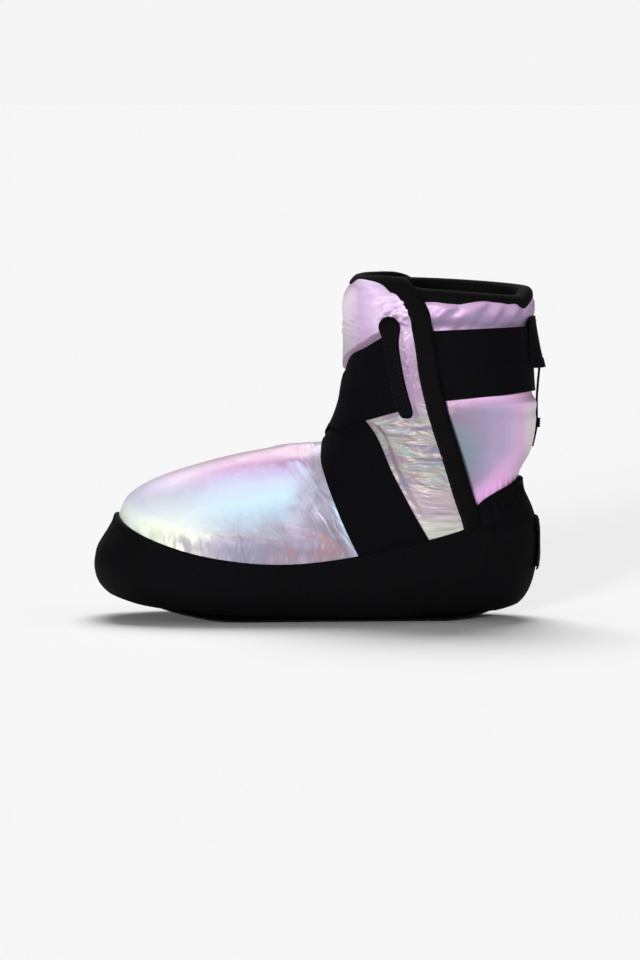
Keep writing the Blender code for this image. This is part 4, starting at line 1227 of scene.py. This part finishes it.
# %% Outsole
TREAD_PITCH = 5.0
TREAD_DEPTH = 0.55
TREAD_SWAY = 3.0
TREAD_REPEAT = 28.0
SOLE_EDGE = 0.9
END_BOW = 1.8


def sole_shape(u, v):
    """The underside of the outsole: u from toe to heel, v from the outer to the inner side."""
    x, outer, inner = at_row(u * (len(SOLE_LINE) - 1), SOLE_LINE)
    y = outer + (inner - outer) * v
    x = x + np.sign(u - 0.5) * END_BOW * (1 - (2 * v - 1) ** 2) * np.abs(2 * u - 1) ** 30
    rim = np.minimum(np.minimum(v, 1 - v) * (inner - outer), np.minimum(x - x.min(), x.max() - x))
    wave = np.sin(2 * np.pi * (x + TREAD_SWAY * np.sin(2 * np.pi * y / TREAD_REPEAT)) / TREAD_PITCH)
    tread = TREAD_DEPTH * smoothstep((wave - 0.2) / 0.5) * smoothstep((rim - 4.0) / 2.0)
    edge = SOLE_EDGE * (1 - smoothstep(rim / 2.5))
    return np.stack([x, y, spring_z(x) + tread + edge], axis=-1)


builder = cloth_grid(260, 60, sole_shape, (236.0, 82.0))
bmesh.ops.reverse_faces(builder, faces=builder.faces)
wear("outsole_tread", builder, sole_finish, "outsole", thick=3.4)

# %% [markdown]
# The insole is a foam pad cut to the inside of the lining. Rays across the boot, just above the sole, measure
# how wide it may be at each station, and the pad dips a little in the middle where the foot presses.

# %% Insole
INSOLE_THICK = 5.6
INSOLE_DISH = 0.9
INSOLE_ROUND = 0.8
SIDE_ROOM = 1.2
TOE_MIDDLE = 3.4
stations = np.linspace(-124.0, 116.0, 90)
reach = []
for x in stations:
    level = spring_z(x) + INSOLE_LIFT - 1.0
    middle = Vector((x, TOE_MIDDLE * (x < -90.0), level))
    hits = [skin_tree.ray_cast(middle, Vector((0, way, 0)))[0] for way in (-1, 1)]
    reach.append([hit.y if hit else middle.y for hit in hits])
reach = np.array(reach)


def insole_shape(u, v):
    """The top of the insole: u from toe to heel, v across."""
    x = stations[0] + (stations[-1] - stations[0]) * u
    low, high = [np.interp(x, stations, reach[:, i]) for i in (0, 1)]
    half = np.maximum((high - low) / 2 - SIDE_ROOM, 2.0)
    side = 2 * v - 1
    dish = -INSOLE_DISH * (1 - side ** 2) - INSOLE_ROUND * smoothstep((np.abs(side) - 0.8) / 0.2)
    return np.stack([x, (low + high) / 2 + side * half, spring_z(x) + INSOLE_LIFT + dish], axis=-1)


builder = cloth_grid(90, 40, insole_shape, (240.0, 80.0))
insole = wear("insole_pad", builder, foam_finish, "insole", thick=INSOLE_THICK)
print("insole", round(np.ptp(reach, axis=1).max()), "mm at its widest")

# %% [markdown]
# The front flap is the crumpled panel. Between the elastic and its taped edge it is squeezed into short sharp
# folds. Level creases fill the part below the slot, short slanting ones the strip beside it, and a few soft
# ones the top.

# %% Creases of the flap
FLAP_CREASES = [
    Crease(18.0, 121.0, 66.0, 119.0, -0.8, 1.9, 1.1), Crease(44.0, 125.5, 76.0, 124.5, -1.6, 1.3, 0.8),
    Crease(46.0, 115.5, 82.0, 113.5, -2.2, 1.3, 0.7), Crease(56.0, 111.0, 82.0, 110.5, -1.8, 1.0, 0.5),
    Crease(56.0, 106.0, 88.0, 106.5, -2.4, 1.4, 1.1), Crease(24.0, 107.0, 66.0, 101.0, 1.6, 2.2, 0.5),
    Crease(28.0, 96.5, 90.0, 96.0, 0.8, 1.3, 0.8), Crease(36.0, 92.5, 72.0, 91.5, 1.8, 1.0, 0.5),
    Crease(34.0, 90.5, 70.0, 88.0, -2.0, 1.2, 0.7), Crease(58.0, 91.0, 90.0, 85.0, -2.4, 1.2, 0.8),
    Crease(50.0, 86.0, 88.0, 80.5, -2.0, 1.2, 0.5), Crease(46.0, 80.0, 84.0, 76.0, 1.0, 2.0, 0.5),
    Crease(52.0, 72.0, 94.0, 71.0, -1.4, 1.4, 0.8), Crease(64.0, 76.0, 95.0, 74.5, -1.4, 1.0, 0.5),
    Crease(60.0, 66.5, 97.0, 66.0, -1.2, 1.2, 0.6), Crease(54.0, 61.5, 90.0, 60.0, 1.0, 1.6, 0.4),
    Crease(62.0, 101.0, 88.0, 100.0, -1.4, 1.0, 0.5),
    Crease(44.0, 193.0, 57.0, 201.0, 2.0, 2.0, 0.8), Crease(52.0, 189.2, 58.3, 185.0, 0.5, 1.2, 0.8),
    Crease(53.4, 182.2, 59.5, 177.3, 0.5, 1.1, 0.7), Crease(54.8, 175.2, 59.7, 171.0, -0.5, 1.0, 0.7),
    Crease(52.7, 172.4, 59.7, 164.0, 0.8, 1.3, 0.8), Crease(54.1, 165.4, 60.4, 159.8, -0.6, 1.1, 0.7),
    Crease(57.0, 150.0, 62.8, 152.8, 0.5, 1.3, 0.8), Crease(57.6, 141.6, 64.6, 147.0, 0.6, 1.3, 0.8),
    Crease(59.0, 130.0, 68.2, 135.6, 0.8, 1.5, 0.9), Crease(56.0, 158.0, 63.0, 156.0, 0.4, 1.0, 0.6),
    Crease(24.0, 193.0, 42.0, 187.0, -2.0, 2.8, 0.7), Crease(30.0, 204.0, 54.0, 209.0, 1.5, 2.2, 0.6),
    Crease(18.0, 185.0, 36.0, 181.0, 1.0, 2.2, 0.6), Crease(38.0, 200.0, 58.0, 206.0, 1.0, 1.8, 0.6),
]
print("flap creases:", len(FLAP_CREASES))

# %% [markdown]
# The flap wraps from the sewn inner side over the front and ends in a taped edge on the outer side. Its
# grid is the finest, for the sake of the folds. Padding swells between the bands of elastic, and at the top
# it rolls over below the tape. The cut edges all lie under tape, elastic or rand.

# %% Front flap
FLAP_REACH = 132.0
INNER_RAISE = 4.0
PUCKER = 0.4
TOP_SWELL = 0.9
TOP_ROLL = 2.6
SEWN_DOWN = 0.7


def flap_shape(u, v):
    """The outer face of the flap: u from the inner to the outer side, v upward."""
    place = FLAP_FIRST + (FLAP_LAST - FLAP_FIRST) * v
    turn = FLAP_REACH * (2 * u - 1)
    base, normal = last_frame(place, turn)
    loose = lifted(base, normal, flap_lift(place, base))
    x, y, z = base.T
    from_edge = flap_edge_x(z) - x
    near_slack, far_slack = [beside(loose_trees, loose, *ramp) for ramp in ((3.0, 6.0), (5.0, 15.0))]
    near_share = smoothstep((from_edge - 18.0) / 12.0)
    outer = flap_lift(place, base, far_slack + (near_slack - far_slack) * near_share)
    sewn = np.where(y > 0, smoothstep((from_edge + 1.0) / 9.0), 1.0)
    open_air = beside(strap_trees, lifted(base, normal, outer), 3.2, 10.0)
    side_z = z + np.where(y > 0, INNER_RAISE, 0.0)
    below_top = flap_top_z(x) - z
    folds = crease_lift(FLAP_CREASES, x, side_z) * smoothstep((below_top - 5.0) / 8.0)
    outer_side = (y < 0) * smoothstep((below_top - 8.0) / 10.0)
    by_tape = hill(from_edge, 11.0, 5.0) * outer_side
    puckers = PUCKER * gathers(z + 0.35 * x, 4.6, 0.15 * x) * by_tape
    by_slot = hill(from_edge, 15.0, 7.0) * smoothstep((z - 130.0) / 8.0) * outer_side
    slanted = PUCKER * gathers(z - 0.8 * x, 5.2, 0.1 * z) * by_slot
    swell = TOP_SWELL * smoothstep((z - 186.0) / 10.0) * smoothstep((FLAP_TOP_Z - z) / 12.0)
    creased = (folds + puckers + slanted) * np.maximum(open_air, 0.4 * smoothstep((132.0 - z) / 4.0))
    roll = smoothstep((below_top - 3.4) / 3.2) * smoothstep((19.0 - below_top) / 10.0)
    roll *= TOP_ROLL * smoothstep((56.0 - x) / 18.0) * smoothstep((np.abs(y) - 4.0) / 20.0)
    lift = outer + (creased + swell * open_air) * smoothstep(from_edge / 8.0) + roll
    return lifted(base, normal, -SEWN_DOWN + (lift + SEWN_DOWN) * sewn)


def on_flap(spot):
    """How far a spot lies inside the flap's cut edges."""
    x, _, z = spot.T
    inset = 0.5 + 2.2 * smoothstep((z - 190.0) / 8.0) * smoothstep((x - 40.0) / 12.0)
    return np.minimum(np.minimum(flap_edge_x(z) - x, flap_top_z(x) - z) - inset, z - rand_edge_z(x) + 7.0)


builder = cloth_grid(300, 220, flap_shape, (240.0, 150.0))
trim(builder, on_flap)
face_out(builder)
flap = wear("flap_cloth", builder, flap_finish, "front_flap", thick=1.6)

# %% [markdown]
# Knit tape is folded over each raw edge and sewn down. Over the collar's rim it is a rolled U. The
# padded cloth below swells out past the tape, so its folds hide parts of the tape's lower edge.

# %% Collar binding
HALF_RIM = 2.3
BELOW_RIM = 0.6
COLLAR_TAPE = [(2.8, -7.4), (3.9, -6.4), (4.5, -3.0), (4.3, 0.4), (2.6, 2.7), (0.0, 3.3), (-2.6, 2.7),
               (-4.3, 0.4), (-4.6, -3.0), (-4.3, -6.6), (-3.4, -7.6)]
rim_turns = np.arange(0.0, 360.0, 2.0)
rim, rim_normal = last_frame(rim_place(rim_turns), rim_turns)
rim_up = rim - last_point(rim_place(rim_turns) - BELOW_RIM, rim_turns)
rim_up /= np.linalg.norm(rim_up, axis=-1, keepdims=True)
collar_shape = tape_shape([rim - rim_normal * HALF_RIM, rim_normal, rim_up], outline_of(COLLAR_TAPE), True)
builder = cloth_grid(300, 30, collar_shape, (CLOTH_GIRTH, 24.0), ring=True)
face_out(builder)
wear("collar_tape", builder, tape_finish, "collar_binding", thick=1.0)

# %% [markdown]
# The same tape climbs the flap's outer edge, turns the corner and runs over the top to the inner side.
# Its line is read off the boot: points a little inside the edge, dropped onto the closed flap.

# %% Flap binding
EDGE_INSET = 4.6
TAPE_STEP = 2.0
TAPE_GIRTH = 22.0
FRAME_PASSES = 6
TOP_SHARE = 0.5
FLAP_TAPE = [(-6.3, -0.3), (-6.0, 1.0), (-4.2, 1.9), (-1.0, 2.3), (2.6, 2.2), (5.2, 1.2), (6.3, -0.6),
             (6.0, -2.4), (4.6, -3.4), (2.0, -3.6)]


def top_edge_points(turns):
    """Points of the closed flap a little below its top edge, at given turns."""
    spots = []
    heights = np.linspace(COLLAR - 3.0, FLAP_LAST, 160)
    for turn in turns:
        base, normal = last_frame(heights, np.full(heights.shape, turn))
        column = lifted(base, normal, flap_lift(heights, base))
        spots.append(column[np.argmax(column[:, 2] > flap_top_z(column[:, 0]) - EDGE_INSET)])
    return spots


def even_line(points, spacing):
    """A smooth line through points, with even steps."""
    fine = through(points, 10)
    run = run_along(fine)
    return at_run(np.linspace(0.0, run[-1], round(run[-1] / spacing) + 1), run, fine)


side_heights = np.linspace(58.0, 194.0, 16)
side_spots = [land(dress_tree, Place(flap_edge_x(z) - EDGE_INSET, z, "outer")) for z in side_heights]
top_spots = top_edge_points(np.linspace(62.0, -72.0, 16))
flap_tape_line = even_line(np.array(side_spots + top_spots), TAPE_STEP)


def steady(frames):
    """Even out the directions of frames along a line."""
    point, across, outward = frames
    for _ in range(FRAME_PASSES):
        for part in (across, outward):
            part[1:-1] = (part[:-2] + 2 * part[1:-1] + part[2:]) / 4
    return point, across, outward


flap_tape_frames = steady(path_frames(flap_tape_line, dress_tree))
flap_outline = outline_of(FLAP_TAPE)


def narrowing_outline(u, v):
    """The tape shows less of itself over the front."""
    side, rise = flap_outline(u, v)
    return np.where(side < 0, side * (1 - TOP_SHARE * smoothstep((u - 0.6) / 0.12)), side), rise


flap_tape_shape = tape_shape(flap_tape_frames, narrowing_outline)
flap_tape_length = TAPE_STEP * len(flap_tape_line)
builder = cloth_grid(len(flap_tape_line) * 2, 22, flap_tape_shape, (flap_tape_length, TAPE_GIRTH))
face_out(builder)
wear("flap_tape", builder, tape_finish, "flap_binding", thick=0.9)
print("flap tape", round(flap_tape_length), "mm long")

# %% [markdown]
# The elastic comes out of a slot whose edges are bound in the same tape, a rounded bead with a fuller top.

# %% Slot binding
SLOT = [Spot(43.2, 192.0), Spot(45.6, 176.0), Spot(48.4, 157.0), Spot(52.0, 141.0), Spot(56.0, 127.5)]
SLOT_HALF = 4.6
SLOT_RISE = 4.0
SLOT_BASE = 0.2
TOP_WIDER = 0.6
slot_line = even_line([land(dress_tree, Place(x, z, "outer")) for x, z in SLOT], 1.5)


def slot_outline(u, v):
    """A low bead, wide at its top end and rounded at both ends."""
    ends = np.sqrt(np.clip(1 - (2 * u - 1) ** 14, 0.0, 1.0))
    half = SLOT_HALF * (1.0 + TOP_WIDER * hill(u, 0.1, 0.12)) * ends
    round_v = np.pi * v
    return -half * np.cos(round_v), SLOT_BASE + (SLOT_RISE * ends) * np.sin(round_v) ** 0.6


slot_shape = tape_shape(steady(path_frames(slot_line, dress_tree)), slot_outline)
builder = cloth_grid(90, 20, slot_shape, (62.0, 12.0))
face_out(builder)
wear("slot_tape", builder, tape_finish, "slot_binding", thick=0.8)

# %% [markdown]
# The two elastic runs were laid out before the cloth, so that the padding could make room for them. Now they
# get their ribbed finish and their thickness.

# %% Elastic straps
for name, grid, node in (("instep_elastic", instep_grid, "instep_strap"),
                         ("ankle_elastic", ankle_grid, "ankle_strap")):
    wear(name, grid, elastic_finish, node, thick=STRAP_THICK)

# %% [markdown]
# At the back a tab hangs over the elastic and covers where the drawcord comes out. Its lower edge stands off
# and is folded into a hem. Below it, on the heel, sits a bare woven label. Both are small grids dropped on
# the boot by rays from behind.

# %% Back tab and heel label
Patch = namedtuple("Patch", "half_width top low")
TAB = Patch(20.0, 190.0, 158.0)
LABEL = Patch(14.0, 63.5, 31.5)
TAB_HEM = 0.6
TAB_STAND = 5.2
LABEL_LIFT = 1.8


def from_behind(tree, patch, lift_at):
    """A surface function for a patch on the back: u across, v downward."""
    def shape(u, v):
        points = []
        for side, share in zip(2 * u - 1, v):
            y = patch.half_width * side
            z = patch.top + (patch.low - patch.top) * share
            spot, normal = tree.ray_cast(Vector((RAY_START, y, z)), Vector((-1, 0, 0)))[:2]
            points.append(np.array(spot + normal * math.copysign(lift_at(share, side), normal.x)))
        return np.array(points)

    return shape


def tab_lift(share, side):
    """The tab's height over the last: share goes down it, side across it from -1 to 1."""
    hem = TAB_HEM * smoothstep((share - 0.8) / 0.04)
    return STRAP_CLEAR + STRAP_THICK + 1.0 + (0.8 + TAB_STAND * share ** 1.2) * (1 - side ** 4) + hem


tab_shape = from_behind(skin_tree, TAB, tab_lift)
builder = cloth_grid(40, 44, tab_shape, (40.0, 33.0))
face_out(builder)
wear("tab_cloth", builder, elastic_finish, "back_tab", thick=1.5)


def label_lift(share, side):
    """The label's height over the rand, a little uneven and lifted at its sides."""
    return LABEL_LIFT + 0.25 * math.sin(9.0 * share) + 0.4 * abs(side) ** 6


label_shape = from_behind(rand_tree, LABEL, label_lift)
builder = cloth_grid(28, 32, label_shape, (28.0, 32.0))
face_out(builder)
wear("label_cloth", builder, label_finish, "heel_label", thick=1.2)

# %% [markdown]
# The drawcord tightens the collar. It hangs from under the tab to a stopper knot and a short tail, on the
# same points as the solid cord. A curve with a round bevel is the simplest cord. The knot is a second
# curve, a few turns wound round the first.

# %% Drawcord
CORD_RADIUS = 0.75
CORD_ROUTE = [
    (138.3, 0.0, 163.5), (138.8, 0.5, 157.0), (138.3, 2.5, 150.5), (138.0, 5.5, 145.0),
    (137.7, 8.5, 139.5), (137.7, 10.8, 133.5), (137.8, 11.9, 126.6),
]
KNOT_CENTRE = (137.9, 12.0, 122.2)
TAIL_ROUTE = [(137.3, 12.0, 117.8), (136.3, 11.6, 113.0), (135.0, 11.2, 107.2)]
KNOT_TURNS = 3.2
KNOT_RADIUS = 1.45
KNOT_HALF = 2.4
KNOT_POINTS = 60


def cord_curve(name, points, nodes):
    """A round cord through points, in place of solid nodes."""
    curve = bpy.data.curves.new(name, "CURVE")
    curve.dimensions = "3D"
    curve.bevel_depth = CORD_RADIUS * MM
    curve.bevel_resolution = 4
    curve.use_fill_caps = True
    spline = curve.splines.new("POLY")
    spline.points.add(len(points) - 1)
    for spot, point in zip(spline.points, points):
        spot.co = (*(np.array(point) * MM), 1.0)
    curve.materials.append(cord_finish)
    piece = bpy.data.objects.new(name, curve)
    scene.collection.objects.link(piece)
    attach(piece, "root")
    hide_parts(*nodes)
    return piece


cord_line = through([*CORD_ROUTE, KNOT_CENTRE, *TAIL_ROUTE], 4)
drawcord = cord_curve("cord_line", cord_line, ["drawcord", "drawcord_tail"])
swing = np.linspace(0.0, 2 * np.pi * KNOT_TURNS, KNOT_POINTS)
wound = KNOT_RADIUS + 0.1 * np.sin(swing / KNOT_TURNS)
winding = [wound * np.cos(swing), wound * np.sin(swing), np.linspace(KNOT_HALF, -KNOT_HALF, KNOT_POINTS)]
knot = cord_curve("cord_knot", KNOT_CENTRE + np.stack(winding, axis=-1), ["drawcord_knot"])

# %% [markdown]
# Thread holds it all together. A stitch is a small bead of a few faces, laid on a tape's own surface function
# at an even pitch, so a row of stitches follows its tape everywhere. The label is sewn with paler thread.

# %% Stitches
Sewn = namedtuple("Sewn", "shape start end")
STITCH_PITCH = 3.0
STITCH_LONG = 1.1
STITCH_THICK = 0.34
STITCH_AHEAD = 0.5


def sew(name, seams, finish, node):
    """Rows of stitches; each seam is a surface function and the u and v where its row starts and ends."""
    builder = bmesh.new()
    for seam in seams:
        f = np.linspace(0.0, 1.0, 200)
        line = seam.shape(*[a + (b - a) * f for a, b in zip(seam.start, seam.end)])
        run = run_along(line)
        even = np.arange(STITCH_PITCH / 2, run[-1], STITCH_PITCH)
        points = at_run(even, run, line)
        ahead = at_run(even + STITCH_AHEAD, run, line)
        for point, heading in zip(points, ahead - points):
            turn = Vector(heading).to_track_quat("X", "Z").to_matrix().to_4x4()
            bead = Matrix.Diagonal((STITCH_LONG * MM, STITCH_THICK * MM, STITCH_THICK * MM, 1.0))
            bmesh.ops.create_uvsphere(builder, u_segments=6, v_segments=4, radius=1.0,
                                      matrix=Matrix.Translation(point * MM) @ turn @ bead)
    builder.loops.layers.uv.new("cloth")
    return wear(name, builder, finish, node)


tape_seams = {
    "flap_tape_stitches": ("flap_binding", [Sewn(flap_tape_shape, (0.0, 0.17), (0.97, 0.17))]),
    "slot_stitches": ("slot_binding", [Sewn(slot_shape, (0.06, v), (0.94, v)) for v in (0.2, 0.8)]),
    "collar_stitches": ("collar_binding", [Sewn(collar_shape, (0.0, 0.93), (0.995, 0.93))]),
}
for name, (node, seams) in tape_seams.items():
    sew(name, seams, thread_finish, node)
tab_seams = [Sewn(tab_shape, (0.04, v), (0.96, v)) for v in (0.76, 0.08)]
sew("tab_stitches", tab_seams, thread_finish, "back_tab")
label_sides = [((0.08, 0.06), (0.92, 0.06)), ((0.08, 0.94), (0.92, 0.94)), ((0.06, 0.08), (0.06, 0.92)),
               ((0.94, 0.08), (0.94, 0.92))]
label_seams = [Sewn(label_shape, start, end) for start, end in label_sides]
sew("label_stitches", label_seams, pale_thread_finish, "heel_label")
